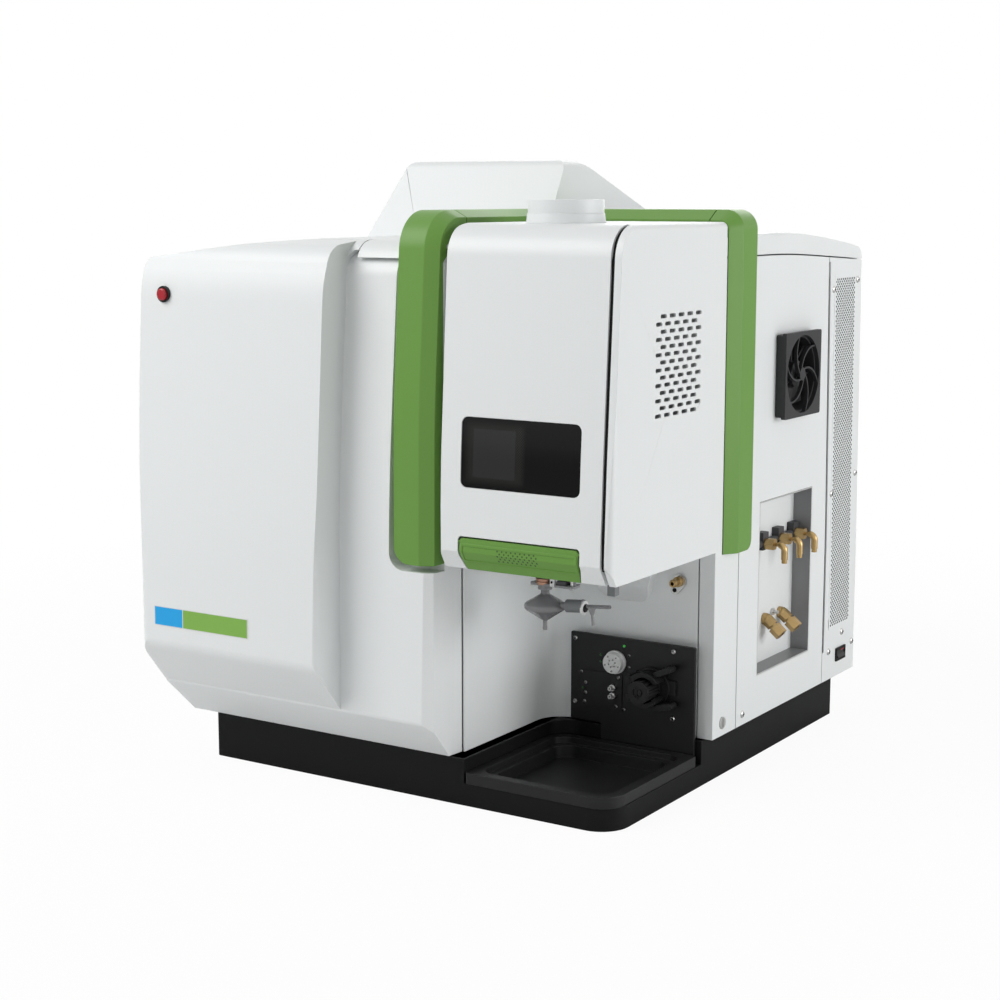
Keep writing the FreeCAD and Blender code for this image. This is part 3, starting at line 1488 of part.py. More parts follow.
def build():
    pieces["base_plinth"] = base_plinth()
    pieces["chassis_floor"] = chassis_floor()
    pieces["chassis_frame"] = chassis_frame()
    pieces["front_cover"] = front_cover()
    pieces["front_panel"] = front_panel()
    pieces["left_side_panel"] = left_side_panel()
    pieces["rear_panel"] = rear_panel()
    pieces["top_cover"] = top_cover()
    pieces["hump_cover"] = hump_cover()
    pieces["service_column"] = service_column()
    pieces["right_side_panel"] = right_side_panel()
    pieces["rear_strip"] = rear_strip()
    upright, top_left, top_right, side = band_pieces()
    pieces["band_front_upright"] = upright
    pieces["band_top_left"] = top_left
    pieces["band_top_right"] = top_right
    pieces["band_side_upright"] = side
    pieces["torch_box"] = torch_box()
    pieces["torch_door"] = torch_door()
    pieces["window_glass"] = window_glass()
    pieces["window_screen"] = window_screen()
    pieces["door_handle"] = door_handle()
    pieces["door_hinge_pin"] = hinge_pin()
    pieces["door_catch"] = door_catch()
    pieces["exhaust_collar"] = exhaust_collar()
    pieces["torch_tube"] = torch_tube()
    pieces["load_coil"] = load_coil()
    pieces["torch_mount"] = torch_mount()
    pieces["fan_frame"] = fan_frame()
    pieces["fan_rotor"] = fan_rotor()
    pieces["fan_guard"] = fan_guard()
    pieces["service_recess"] = recess_box()
    pieces["gas_manifold"] = gas_manifold()
    pieces["gas_elbows"] = gas_elbows()
    pieces["water_fittings"] = water_fittings()
    pieces["rocker_frame"] = rocker_frame()
    pieces["rocker_key"] = rocker_key()
    pieces["lock_cam"] = lock_cam()
    pieces["side_screws"] = side_screws()
    pieces["button_ring"] = button_ring()
    pieces["red_button"] = red_button()
    pieces["bay_wall"] = bay_wall()
    pieces["bay_port"] = bay_port()
    pieces["pump_plate"] = pump_plate()
    pieces["pump_screws"] = pump_screws()
    pieces["injector_plate"] = pump_subplate()
    pieces["tube_fittings"] = tube_fittings()
    pieces["indicator_lamps"] = indicator_lamps()
    pieces["valve_head"] = valve_head()
    pieces["pump_body"] = pump_body()
    pieces["pump_drum"] = pump_drum()
    pieces["upper_clamp"] = pump_clamp(True)
    pieces["lower_clamp"] = pump_clamp(False)
    pieces["drip_tray"] = drip_tray()
    pieces["spray_chamber"] = spray_chamber()
    pieces["chamber_sleeve"] = chamber_sleeve()
    pieces["nebuliser"] = nebuliser()
    pieces["chamber_clamp"] = chamber_clamp()
    pieces["optics_housing"] = optics_housing()
    pieces["rf_generator"] = rf_generator()
    pieces["power_supply"] = power_supply()


build()
os.makedirs("parts", exist_ok=True)
for name, shape in pieces.items():
    shape.exportStep("parts/" + name + ".step")
    box = shape.BoundBox
    print(f"{name:22s} solids {len(shape.Solids):3d} valid {shape.isValid()} vol {shape.Volume / 1000:9.1f} "
          f"x {box.XMin:7.1f} {box.XMax:7.1f} y {box.YMin:7.1f} {box.YMax:7.1f} z {box.ZMin:6.1f} {box.ZMax:6.1f}")
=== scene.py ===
# Optical emission spectrometer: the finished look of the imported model.
import bpy
import bmesh
import json
import math
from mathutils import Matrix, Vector
from mathutils.bvhtree import BVHTree

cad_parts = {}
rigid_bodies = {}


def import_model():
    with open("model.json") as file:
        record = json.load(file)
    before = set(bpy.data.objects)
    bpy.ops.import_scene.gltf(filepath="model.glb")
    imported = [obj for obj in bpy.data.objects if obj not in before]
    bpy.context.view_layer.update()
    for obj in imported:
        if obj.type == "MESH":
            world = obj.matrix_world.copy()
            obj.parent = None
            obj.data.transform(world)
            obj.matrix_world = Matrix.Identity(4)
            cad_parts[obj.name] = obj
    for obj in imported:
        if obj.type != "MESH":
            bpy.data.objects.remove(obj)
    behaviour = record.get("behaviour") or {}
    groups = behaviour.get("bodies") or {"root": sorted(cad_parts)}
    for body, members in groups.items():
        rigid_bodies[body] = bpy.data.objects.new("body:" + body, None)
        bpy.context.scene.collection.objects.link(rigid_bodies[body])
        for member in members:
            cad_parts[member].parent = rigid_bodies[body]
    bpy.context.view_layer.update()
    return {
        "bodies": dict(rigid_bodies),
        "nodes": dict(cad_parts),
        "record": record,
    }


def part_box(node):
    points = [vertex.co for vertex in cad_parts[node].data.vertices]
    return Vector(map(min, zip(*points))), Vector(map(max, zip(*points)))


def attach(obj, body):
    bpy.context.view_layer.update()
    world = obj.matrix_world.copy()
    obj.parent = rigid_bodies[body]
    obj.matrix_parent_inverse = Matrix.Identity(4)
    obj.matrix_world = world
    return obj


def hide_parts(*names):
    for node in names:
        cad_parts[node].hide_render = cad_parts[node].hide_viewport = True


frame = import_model()
cadNodes = frame["nodes"]
bodyNames = {body: name for name, body in frame["bodies"].items()}
mm = 0.001
quarter = math.pi / 2

cameraValues = {
    "place": (1.4267, -2.3080, 0.7800),
    "azimuth": 32.841,
    "pitch": 9.074,
    "lens": 68.65,
    "sensor": 36.0,
}

floorValues = {"half": 14.0, "tone": 0.86, "roughness": 0.85, "specular": 0.1, "near": 0.9, "far": 1.9,
               "nearShare": 0.94, "farShare": 1.0}

lightValues = {
    "worldStrength": 0.21,
    "keyPower": 102.0, "keySize": 2.4, "keyPlace": (-1.9, -2.6, 2.9),
    "fillPower": 60.0, "fillSize": 2.0, "fillPlace": (3.4, 0.6, 0.9),
    "topPower": 9.0, "topSize": 2.6, "topPlace": (0.1, 0.2, 3.2),
    "frontPower": 7.0, "frontSize": 1.6, "frontPlace": (1.2, -3.4, 0.9),
    "backPower": 40.0, "backSize": 2.4, "backPlace": (-0.9, 3.4, 1.8),
    "aim": (0.0, 0.0, 0.42),
}


# Shader building

def newMaterial(name):
    material = bpy.data.materials.new(name)
    material.use_nodes = True
    tree = material.node_tree
    return material, tree, tree.nodes["Principled BSDF"]


def groupSocket(tree, name, way, kind, value=None):
    socket = tree.interface.new_socket(name=name, in_out=way, socket_type=kind)
    if value is not None:
        socket.default_value = value
    return socket


def newGroup(name, inputs, outputs):
    # A shader group whose sockets have the given names and starting values
    tree = bpy.data.node_groups.new(name, "ShaderNodeTree")
    for label, value in inputs.items():
        kind = "NodeSocketColor" if isinstance(value, tuple) else "NodeSocketFloat"
        groupSocket(tree, label, "INPUT", kind, value)
    for label, kind in outputs.items():
        groupSocket(tree, label, "OUTPUT", kind)
    return tree, tree.nodes.new("NodeGroupInput"), tree.nodes.new("NodeGroupOutput")


def mathNode(tree, operation, first, second=None, third=None):
    node = tree.nodes.new("ShaderNodeMath")
    node.operation = operation
    for slot, value in enumerate((first, second, third)):
        if value is None:
            continue
        if isinstance(value, (int, float)):
            node.inputs[slot].default_value = value
        else:
            tree.links.new(value, node.inputs[slot])
    return node.outputs[0]


def noiseNode(tree, place, scale, detail=2.0):
    noise = tree.nodes.new("ShaderNodeTexNoise")
    noise.inputs["Detail"].default_value = detail
    tree.links.new(place, noise.inputs["Vector"])
    if isinstance(scale, (int, float)):
        noise.inputs["Scale"].default_value = scale
    else:
        tree.links.new(scale, noise.inputs["Scale"])
    return noise.outputs["Fac"]


def mixColour(tree, share, first, second):
    mix = tree.nodes.new("ShaderNodeMix")
    mix.data_type = "RGBA"
    for socket, value in ((mix.inputs[0], share), (mix.inputs[6], first), (mix.inputs[7], second)):
        if isinstance(value, (int, float, tuple)):
            socket.default_value = value
        else:
            tree.links.new(value, socket)
    return mix.outputs[2]


def paintGrainGroup():
    # Fine orange peel of powder paint, with a tone and a roughness that vary a little
    tree, given, out = newGroup("paintGrain", {
        "Colour": (0.8, 0.8, 0.8, 1.0), "Grain Scale": 900.0, "Roughness": 0.45, "Variation": 0.06,
        "Tone": 0.03,
    }, {"Colour": "NodeSocketColor", "Height": "NodeSocketFloat", "Roughness": "NodeSocketFloat"})
    place = tree.nodes.new("ShaderNodeTexCoord").outputs["Object"]
    tree.links.new(noiseNode(tree, place, given.outputs["Grain Scale"]), out.inputs["Height"])
    broad = mathNode(tree, "SUBTRACT", noiseNode(tree, place, 14.0), 0.5)
    spread = mathNode(tree, "MULTIPLY", broad, given.outputs["Variation"])
    tree.links.new(mathNode(tree, "ADD", spread, given.outputs["Roughness"]), out.inputs["Roughness"])
    speck = mathNode(tree, "SUBTRACT", noiseNode(tree, place, 420.0, 3.0), 0.5)
    mottle = mathNode(tree, "MULTIPLY", speck, given.outputs["Tone"])
    shade = mathNode(tree, "ADD", mathNode(tree, "MULTIPLY", mottle, 2.0), 1.0)
    scaled = tree.nodes.new("ShaderNodeVectorMath")
    scaled.operation = "SCALE"
    tree.links.new(given.outputs["Colour"], scaled.inputs[0])
    tree.links.new(shade, scaled.inputs["Scale"])
    tree.links.new(scaled.outputs[0], out.inputs["Colour"])
    return tree


paintGrain = paintGrainGroup()


def grainPaint(name, values):
    material, tree, shader = newMaterial(name)
    shader.inputs["Metallic"].default_value = values.get("metallic", 0.0)
    shader.inputs["Specular IOR Level"].default_value = values.get("specular", 0.5)
    shader.inputs["Coat Weight"].default_value = values.get("coat", 0.0)
    grain = tree.nodes.new("ShaderNodeGroup")
    grain.node_tree = paintGrain
    grain.inputs["Colour"].default_value = (*values["colour"], 1)
    grain.inputs["Grain Scale"].default_value = values["grain"]
    grain.inputs["Roughness"].default_value = values["roughness"]
    grain.inputs["Variation"].default_value = values.get("variation", 0.06)
    grain.inputs["Tone"].default_value = values.get("tone", 0.02)
    bump = tree.nodes.new("ShaderNodeBump")
    bump.inputs["Strength"].default_value = values.get("bump", 0.05)
    bump.inputs["Distance"].default_value = 0.0004
    tree.links.new(grain.outputs["Height"], bump.inputs["Height"])
    tree.links.new(bump.outputs["Normal"], shader.inputs["Normal"])
    tree.links.new(grain.outputs["Roughness"], shader.inputs["Roughness"])
    tree.links.new(grain.outputs["Colour"], shader.inputs["Base Color"])
    return material


def glassFinish(name, values):
    material, tree, shader = newMaterial(name)
    shader.inputs["Base Color"].default_value = (*values["colour"], 1)
    shader.inputs["Roughness"].default_value = values["roughness"]
    shader.inputs["Transmission Weight"].default_value = values["transmission"]
    shader.inputs["IOR"].default_value = values["ior"]
    return material


finishValues = {
    "whitePaint": {"colour": (0.800, 0.822, 0.822), "roughness": 0.42, "grain": 1400.0, "bump": 0.08,
                   "tone": 0.012},
    "greenPaint": {"colour": (0.142, 0.305, 0.056), "roughness": 0.42, "grain": 1100.0, "bump": 0.08,
                   "specular": 0.3},
    # Darker green: painted shade inside the handle's dimples
    "dimpleShade": {"colour": (0.040, 0.095, 0.020), "roughness": 0.6, "grain": 900.0, "bump": 0.05},
    "blackPaint": {"colour": (0.0055, 0.0055, 0.0058), "roughness": 0.5, "grain": 900.0, "bump": 0.12,
                   "specular": 0.12},
    "blackPlastic": {"colour": (0.008, 0.008, 0.0085), "roughness": 0.42, "grain": 700.0, "bump": 0.05,
                     "specular": 0.3},
    # Near-black painted shade for the dark of holes, screw recesses, bores and the door gap
    "holeShade": {"colour": (0.010, 0.010, 0.010), "roughness": 0.8, "grain": 700.0, "bump": 0.02,
                  "specular": 0.1},
    "greyPlastic": {"colour": (0.16, 0.17, 0.175), "roughness": 0.5, "grain": 700.0, "bump": 0.05},
    "darkGreyPlastic": {"colour": (0.060, 0.061, 0.064), "roughness": 0.5, "grain": 700.0, "bump": 0.05,
                        "specular": 0.3},
    "fanBlade": {"colour": (0.026, 0.026, 0.028), "roughness": 0.45, "grain": 700.0, "bump": 0.03,
                 "specular": 0.3},
    "whitePlastic": {"colour": (0.72, 0.73, 0.72), "roughness": 0.35, "grain": 500.0, "bump": 0.02},
    "brassMetal": {"colour": (0.42, 0.29, 0.13), "roughness": 0.34, "grain": 500.0, "bump": 0.05,
                   "metallic": 1.0, "tone": 0.08},
    "copperMetal": {"colour": (0.42, 0.24, 0.17), "roughness": 0.36, "grain": 500.0, "bump": 0.05,
                    "metallic": 1.0},
    "steelMetal": {"colour": (0.55, 0.55, 0.54), "roughness": 0.34, "grain": 600.0, "bump": 0.04,
                   "metallic": 1.0},
    "aluminiumMetal": {"colour": (0.66, 0.67, 0.68), "roughness": 0.42, "grain": 600.0, "bump": 0.05,
                       "metallic": 1.0},
    "recessMetal": {"colour": (0.23, 0.232, 0.24), "roughness": 0.4, "grain": 300.0, "bump": 0.04,
                    "tone": 0.03},
    "redPlastic": {"colour": (0.40, 0.012, 0.022), "roughness": 0.26, "grain": 500.0, "bump": 0.02},
    "greenLamp": {"colour": (0.10, 0.75, 0.12), "roughness": 0.25, "grain": 500.0, "bump": 0.0},
    "darkLamp": {"colour": (0.004, 0.07, 0.006), "roughness": 0.3, "grain": 500.0, "bump": 0.0},
    "screenMesh": {"colour": (0.015, 0.015, 0.016), "roughness": 0.5, "grain": 700.0, "bump": 0.0},
    "labelBlue": {"colour": (0.0, 0.36, 0.78), "roughness": 0.45, "grain": 900.0, "bump": 0.02},
    "labelGreen": {"colour": (0.205, 0.425, 0.065), "roughness": 0.45, "grain": 900.0, "bump": 0.02},
}
finishes = {name: grainPaint(name, values) for name, values in finishValues.items()}
glassValues = {
    "clearGlass": {"colour": (0.93, 0.95, 0.95), "roughness": 0.03, "transmission": 1.0, "ior": 1.47},
    "greyGlass": {"colour": (0.36, 0.36, 0.37), "roughness": 0.05, "transmission": 0.50, "ior": 1.45},
}
for glassName, values in glassValues.items():
    finishes[glassName] = glassFinish(glassName, values)


windowValues = {
    "left": 0.1156, "right": 0.2871, "bottom": 0.4225, "top": 0.5105,   # the glass, in metres
    "dotted": 0.56,            # share of the width that the dotted screen takes
    "dotPitch": 0.0024, "dotLevel": 0.4, "frameWidth": 0.017, "fadeWidth": 0.008, "edgeWidth": 0.0008,
    "inside": (0.030, 0.030, 0.031), "dots": (0.045, 0.045, 0.040), "dark": (0.0062, 0.0062, 0.0062),
}


def fadedBand(tree, value, low, high, soft):
    # 1 between low and high, falling to 0 over the soft width outside them
    rise = mathNode(tree, "DIVIDE", mathNode(tree, "SUBTRACT", value, low), soft)
    fall = mathNode(tree, "DIVIDE", mathNode(tree, "SUBTRACT", high, value), soft)
    least = mathNode(tree, "MINIMUM", rise, fall)
    node = tree.nodes.new("ShaderNodeClamp")
    tree.links.new(least, node.inputs[0])
    return node.outputs[0]


def dottedScreenGroup(values):
    # Black screen print on the window: fine dots that thin out towards its edges, and a clear middle
    tree, given, out = newGroup("dottedScreen", {
        "Dark": (*values["dark"], 1), "Inside": (*values["inside"], 1), "Dots": (*values["dots"], 1),
    }, {"Colour": "NodeSocketColor"})
    place = tree.nodes.new("ShaderNodeTexCoord").outputs["Object"]
    split = tree.nodes.new("ShaderNodeSeparateXYZ")
    tree.links.new(place, split.inputs[0])
    x, z = split.outputs[0], split.outputs[2]
    left, bottom, top = values["left"], values["bottom"], values["top"]
    edge = left + (values["right"] - left) * values["dotted"]
    wide, soft = values["frameWidth"], values["fadeWidth"]
    inner = mathNode(tree, "MULTIPLY", fadedBand(tree, x, left + wide, edge - wide, values["edgeWidth"]),
                     fadedBand(tree, z, bottom + wide * 0.8, top - wide * 0.8, values["edgeWidth"]))
    outer = mathNode(tree, "MULTIPLY", fadedBand(tree, x, left + 0.004, edge - 0.002, soft),
                     fadedBand(tree, z, bottom + 0.004, top - 0.004, soft))
    turn = 2 * math.pi / values["dotPitch"] * 0.7071   # the dots' rows run at 45 degrees
    waves = [mathNode(tree, "SINE", mathNode(tree, "MULTIPLY", mathNode(tree, way, x, z), turn))
             for way in ("ADD", "SUBTRACT")]
    dot = mathNode(tree, "GREATER_THAN", mathNode(tree, "ADD", *waves), values["dotLevel"])
    dotted = mathNode(tree, "MULTIPLY", dot, outer)
    colour = mixColour(tree, dotted, given.outputs["Dark"], given.outputs["Dots"])
    tree.links.new(mixColour(tree, inner, colour, given.outputs["Inside"]), out.inputs["Colour"])
    return tree


def windowFinish():
    material, tree, shader = newMaterial("darkGlass")
    shader.inputs["Roughness"].default_value = 0.12
    shader.inputs["Specular IOR Level"].default_value = 0.18
    screen = tree.nodes.new("ShaderNodeGroup")
    screen.node_tree = dottedScreenGroup(windowValues)
    tree.links.new(screen.outputs["Colour"], shader.inputs["Base Color"])
    return material


finishes["darkGlass"] = windowFinish()
print("materials ready")

slotFinish = {
    "black_paint": "blackPaint", "white_paint": "whitePaint", "green_paint": "greenPaint",
    "steel": "steelMetal",
    "aluminium": "aluminiumMetal", "dark_glass": "darkGlass", "dark_screen": "screenMesh",
    "clear_glass": "clearGlass", "grey_plastic": "greyPlastic", "black_plastic": "blackPlastic",
    "red_plastic": "redPlastic", "white_plastic": "whitePlastic", "lamp_plastic": "greenLamp",
    "brass": "brassMetal",
}
nodeFinish = {   # where a node's own finish is not that of its slot
    "pump_plate": "blackPlastic", "injector_plate": "blackPlastic",
    "chamber_clamp": "recessMetal", "fan_frame": "fanBlade", "fan_guard": "fanBlade", "fan_rotor": "fanBlade",
    "gas_manifold": "darkGreyPlastic", "nebuliser": "greyGlass", "spray_chamber": "greyGlass",
}
nodeSlot = {part["node"]: part["material_slot"] for part in frame["record"]["subparts"]}


def finishOf(nodeName):
    return nodeFinish.get(nodeName, slotFinish[nodeSlot[nodeName]])


for nodeName in cadNodes:
    mesh = cadNodes[nodeName].data
    mesh.materials.clear()
    mesh.materials.append(finishes[finishOf(nodeName)])
print("packed model dressed")


# Pieces

def bodyOf(nodeName):
    return bodyNames[cadNodes[nodeName].parent]


def newPiece(name, mesh, body, finishNames):
    piece = bpy.data.objects.new(name, mesh)
    bpy.context.scene.collection.objects.link(piece)
    for finishName in finishNames:
        mesh.materials.append(finishes[finishName])
    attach(piece, body)
    return piece


sharpAngle = 24   # degrees: an edge turned further than this is a real edge


def shapeMesh(shape, name):
    # The finished bmesh as a new mesh
    mesh = bpy.data.meshes.new(name)
    shape.to_mesh(mesh)
    shape.free()
    return mesh


def settled(mesh, modifiers):
    # The mesh after the given modifiers, as a plain mesh
    holder = bpy.data.objects.new("holder", mesh)
    bpy.context.scene.collection.objects.link(holder)
    for kind, values in modifiers:
        modifier = holder.modifiers.new(kind.title(), kind)
        for key, value in values.items():
            setattr(modifier, key, value)
    graph = bpy.context.evaluated_depsgraph_get()
    graph.update()
    result = bpy.data.meshes.new_from_object(holder.evaluated_get(graph))
    bpy.data.objects.remove(holder)
    return result


def markSharp(mesh, limit):
    shape = bmesh.new()
    shape.from_mesh(mesh)
    for face in shape.faces:
        face.smooth = True
    for edge in shape.edges:
        edge.smooth = len(edge.link_faces) == 2 and edge.calc_face_angle(0.0) < math.radians(limit)
    shape.to_mesh(mesh)
    shape.free()


def mergedMesh(nodeName):
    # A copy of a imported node's loose triangles, joined up, with its flat faces whole
    shape = bmesh.new()
    shape.from_mesh(cadNodes[nodeName].data)
    bmesh.ops.remove_doubles(shape, verts=shape.verts, dist=2e-6)
    bmesh.ops.dissolve_limit(shape, angle_limit=math.radians(0.05), verts=shape.verts, edges=shape.edges)
    mesh = shapeMesh(shape, nodeName + "Soft")
    mesh.materials.clear()
    return mesh


def softMesh(nodeName, width):
    mesh = mergedMesh(nodeName)
    if width > 0:
        mesh = settled(mesh, [("BEVEL", {"width": width * mm, "segments": 2, "limit_method": "ANGLE",
                                         "angle_limit": math.radians(sharpAngle), "use_clamp_overlap": False,
                                         "offset_type": "OFFSET", "miter_outer": "MITER_SHARP"})])
    markSharp(mesh, sharpAngle)
    return settled(mesh, [("WEIGHTED_NORMAL", {"keep_sharp": True, "weight": 50, "mode": "FACE_AREA"})])


softValues = {   # bevel width of each cover's cut edges, in millimetres
    "front_cover": 0.9, "left_side_panel": 0.9, "rear_panel": 0.8, "top_cover": 0.9,
    "hump_cover": 0.9, "service_column": 0.9, "right_side_panel": 0.9, "rear_strip": 0.7, "torch_box": 0.9,
    "torch_door": 1.0, "exhaust_collar": 0.6, "bay_wall": 0.6, "base_plinth": 0.8, "drip_tray": 0.8,
    "band_front_upright": 1.0, "band_top_left": 1.0, "band_top_right": 1.0, "band_side_upright": 1.0,
    "door_handle": 0.5, "pump_plate": 0.7, "injector_plate": 0.3, "pump_body": 0.5, "pump_drum": 0.3,
    "upper_clamp": 0.5, "lower_clamp": 0.5, "fan_frame": 0.6, "fan_rotor": 0.3,
    "gas_manifold": 0.5, "gas_elbows": 0.3, "water_fittings": 0.3, "rocker_frame": 0.4, "rocker_key": 0.4,
    "lock_cam": 0.3, "button_ring": 0.5, "red_button": 0.8, "pump_screws": 0.2,
    "valve_head": 0.6, "tube_fittings": 0.3, "door_catch": 0.8, "torch_mount": 0.4, "chamber_sleeve": 0.4,
    "spray_chamber": 0.0, "nebuliser": 0.0,
}
for nodeName, width in softValues.items():
    softPiece = newPiece(nodeName + "Soft", softMesh(nodeName, width), bodyOf(nodeName),
                         [finishOf(nodeName)])
    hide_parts(nodeName)
print("covers softened")


# Tools for pieces that lie on a packed surface

def surfaceOf(nodeName):
    mesh = cadNodes[nodeName].data
    return BVHTree.FromPolygons([vert.co for vert in mesh.vertices],
                                [face.vertices for face in mesh.polygons])


def drape(mesh, nodeName, axis, way):
    # Moves every point along one axis, so that its own value there is its height over the node's surface
    surface = surfaceOf(nodeName)
    heading = Vector([way if index == axis else 0.0 for index in range(3)])
    for vert in mesh.vertices:
        start = vert.co.copy()
        start[axis] = -2.0 * way
        hit = surface.ray_cast(start, heading)[0]
        if hit is not None:
            vert.co[axis] += hit[axis]


def plateMesh(name, xs, zs, thick, finishAt):
    # A thin plate on a grid of x and z lines, standing at y = -thick, with walls back to y = 0
    shape = bmesh.new()
    rows = [[shape.verts.new((x, -thick, z)) for z in zs] for x in xs]
    for column in range(len(xs) - 1):
        for row in range(len(zs) - 1):
            here, beside = rows[column], rows[column + 1]
            face = shape.faces.new((here[row], beside[row], beside[row + 1], here[row + 1]))
            face.material_index = finishAt(xs[column], xs[column + 1], zs[row], zs[row + 1])
    border = [edge for edge in shape.edges if edge.is_boundary]
    walls = bmesh.ops.extrude_edge_only(shape, edges=border)["geom"]
    for vert in (item for item in walls if isinstance(item, bmesh.types.BMVert)):
        vert.co.y = 0.0002
    bmesh.ops.recalc_face_normals(shape, faces=shape.faces)
    return shapeMesh(shape, name)


def spaced(values, longest):
    # The given lines with more between them, none further apart than the longest step
    lines = [values[0]]
    for low, high in zip(values, values[1:]):
        steps = max(1, math.ceil((high - low) / longest))
        lines += [low + (high - low) * (step + 1) / steps for step in range(steps)]
    return lines


# Label plate on the large panel: bare, in two tones with a pale border

labelValues = {"left": -0.3480, "right": -0.1830, "bottom": 0.2020, "top": 0.2290, "split": 0.31,
               "border": 0.0011, "thick": 0.0007}


def labelPlate(values):
    left, right, border = values["left"], values["right"], values["border"]
    split = left + (right - left) * values["split"]
    xs = spaced([left, left + border, split - border / 2, split + border / 2, right - border, right], 0.006)
    zs = [values["bottom"], values["bottom"] + border, values["top"] - border, values["top"]]

    def toneAt(x0, x1, z0, z1):
        middle, height = (x0 + x1) / 2, (z0 + z1) / 2
        if height < zs[1] or height > zs[2] or middle < left + border or middle > right - border:
            return 2
        if abs(middle - split) < border / 2:
            return 2
        return 0 if middle < split else 1

    mesh = plateMesh("labelPlate", xs, zs, values["thick"], toneAt)
    drape(mesh, "front_panel", 1, 1)
    return newPiece("labelPlate", mesh, bodyOf("front_panel"),
                    ["labelBlue", "labelGreen", "whitePlastic"])


labelPlate(labelValues)


# Rows of small holes and dimples, drawn as dark discs of painted shade

roundSides = {"hole": 8, "screwHead": 20, "knob": 28, "turned": 40}   # sides of each kind of round piece


def newTree(name, counts, lengths, vectors, materials):
    # A geometry tree with these named inputs, its input sockets and its output node
    tree = bpy.data.node_groups.new(name, "GeometryNodeTree")
    groupSocket(tree, "Geometry", "INPUT", "NodeSocketGeometry")
    for kind, labels in (("Int", counts), ("Float", lengths), ("Vector", vectors), ("Material", materials)):
        for label in labels:
            groupSocket(tree, label, "INPUT", "NodeSocket" + kind)
    groupSocket(tree, "Geometry", "OUTPUT", "NodeSocketGeometry")
    return tree, tree.nodes.new("NodeGroupInput").outputs, tree.nodes.new("NodeGroupOutput")


def copiesOnPoints(tree, points, copied):
    copies = tree.nodes.new("GeometryNodeInstanceOnPoints")
    tree.links.new(points, copies.inputs["Points"])
    tree.links.new(copied, copies.inputs["Instance"])
    return copies


def placedAndDressed(tree, given, copies, out):
    # Puts the copies in their place, makes them real and gives them their finish
    placed = tree.nodes.new("GeometryNodeTransform")
    tree.links.new(copies.outputs[0], placed.inputs["Geometry"])
    tree.links.new(given["Place"], placed.inputs["Translation"])
    tree.links.new(given["Turn"], placed.inputs["Rotation"])
    real = tree.nodes.new("GeometryNodeRealizeInstances")
    tree.links.new(placed.outputs[0], real.inputs[0])
    dressed = tree.nodes.new("GeometryNodeSetMaterial")
    tree.links.new(real.outputs[0], dressed.inputs["Geometry"])
    tree.links.new(given["Finish"], dressed.inputs["Material"])
    tree.links.new(dressed.outputs[0], out.inputs[0])


def holeRowsTree():
    # Staggered rows of small discs on a plane: local x along a row, local y up the rows, local z outwards
    tree, given, out = newTree(
        "holeRows", ("Columns", "Rows"), ("Column Pitch", "Row Pitch", "Stagger", "Lean", "Radius", "Depth"),
        ("Place", "Turn"), ("Finish",))
    grid = tree.nodes.new("GeometryNodeMeshGrid")
    tree.links.new(given["Columns"], grid.inputs["Vertices X"])
    tree.links.new(given["Rows"], grid.inputs["Vertices Y"])
    for count, pitch, size in (("Columns", "Column Pitch", "Size X"), ("Rows", "Row Pitch", "Size Y")):
        steps = mathNode(tree, "SUBTRACT", given[count], 1.0)
        tree.links.new(mathNode(tree, "MULTIPLY", steps, given[pitch]), grid.inputs[size])
    index = tree.nodes.new("GeometryNodeInputIndex").outputs[0]
    odd = mathNode(tree, "MODULO", mathNode(tree, "MODULO", index, given["Rows"]), 2.0)
    place = tree.nodes.new("GeometryNodeInputPosition").outputs[0]
    split = tree.nodes.new("ShaderNodeSeparateXYZ")
    tree.links.new(place, split.inputs[0])
    shift = mathNode(tree, "MULTIPLY_ADD", odd, given["Stagger"],
                     mathNode(tree, "MULTIPLY", split.outputs[1], given["Lean"]))
    offset = tree.nodes.new("ShaderNodeCombineXYZ")
    tree.links.new(shift, offset.inputs[0])
    moved = tree.nodes.new("GeometryNodeSetPosition")
    tree.links.new(grid.outputs["Mesh"], moved.inputs["Geometry"])
    tree.links.new(offset.outputs[0], moved.inputs["Offset"])
    disc = tree.nodes.new("GeometryNodeMeshCylinder")
    disc.inputs["Vertices"].default_value = roundSides["hole"]
    tree.links.new(given["Radius"], disc.inputs["Radius"])
    tree.links.new(given["Depth"], disc.inputs["Depth"])
    placedAndDressed(tree, given, copiesOnPoints(tree, moved.outputs[0], disc.outputs["Mesh"]), out)
    return tree


holeRows = holeRowsTree()


def treeMesh(name, tree, inputs, base=None):
    # The plain mesh that a geometry tree gives with these inputs
    holder = bpy.data.objects.new(name + "Holder", base or bpy.data.meshes.new(name + "Holder"))
    bpy.context.scene.collection.objects.link(holder)
    modifier = holder.modifiers.new("nodes", "NODES")
    modifier.node_group = tree
    keys = {item.name: item.identifier for item in tree.interface.items_tree if item.in_out == "INPUT"}
    for label, value in inputs.items():
        modifier[keys[label]] = value
    graph = bpy.context.evaluated_depsgraph_get()
    graph.update()
    mesh = bpy.data.meshes.new_from_object(holder.evaluated_get(graph))
    mesh.name = name
    bpy.data.objects.remove(holder)
    return mesh


grilleValues = {
    "columns": 10, "rows": 146, "columnPitch": 0.0069, "rowPitch": 0.00355, "radius": 0.00165,
    "lean": -0.0225, "middle": (0.3265, 0.4025), "face": 0.3310, "skin": 0.0004, "margin": 0.0065,
}


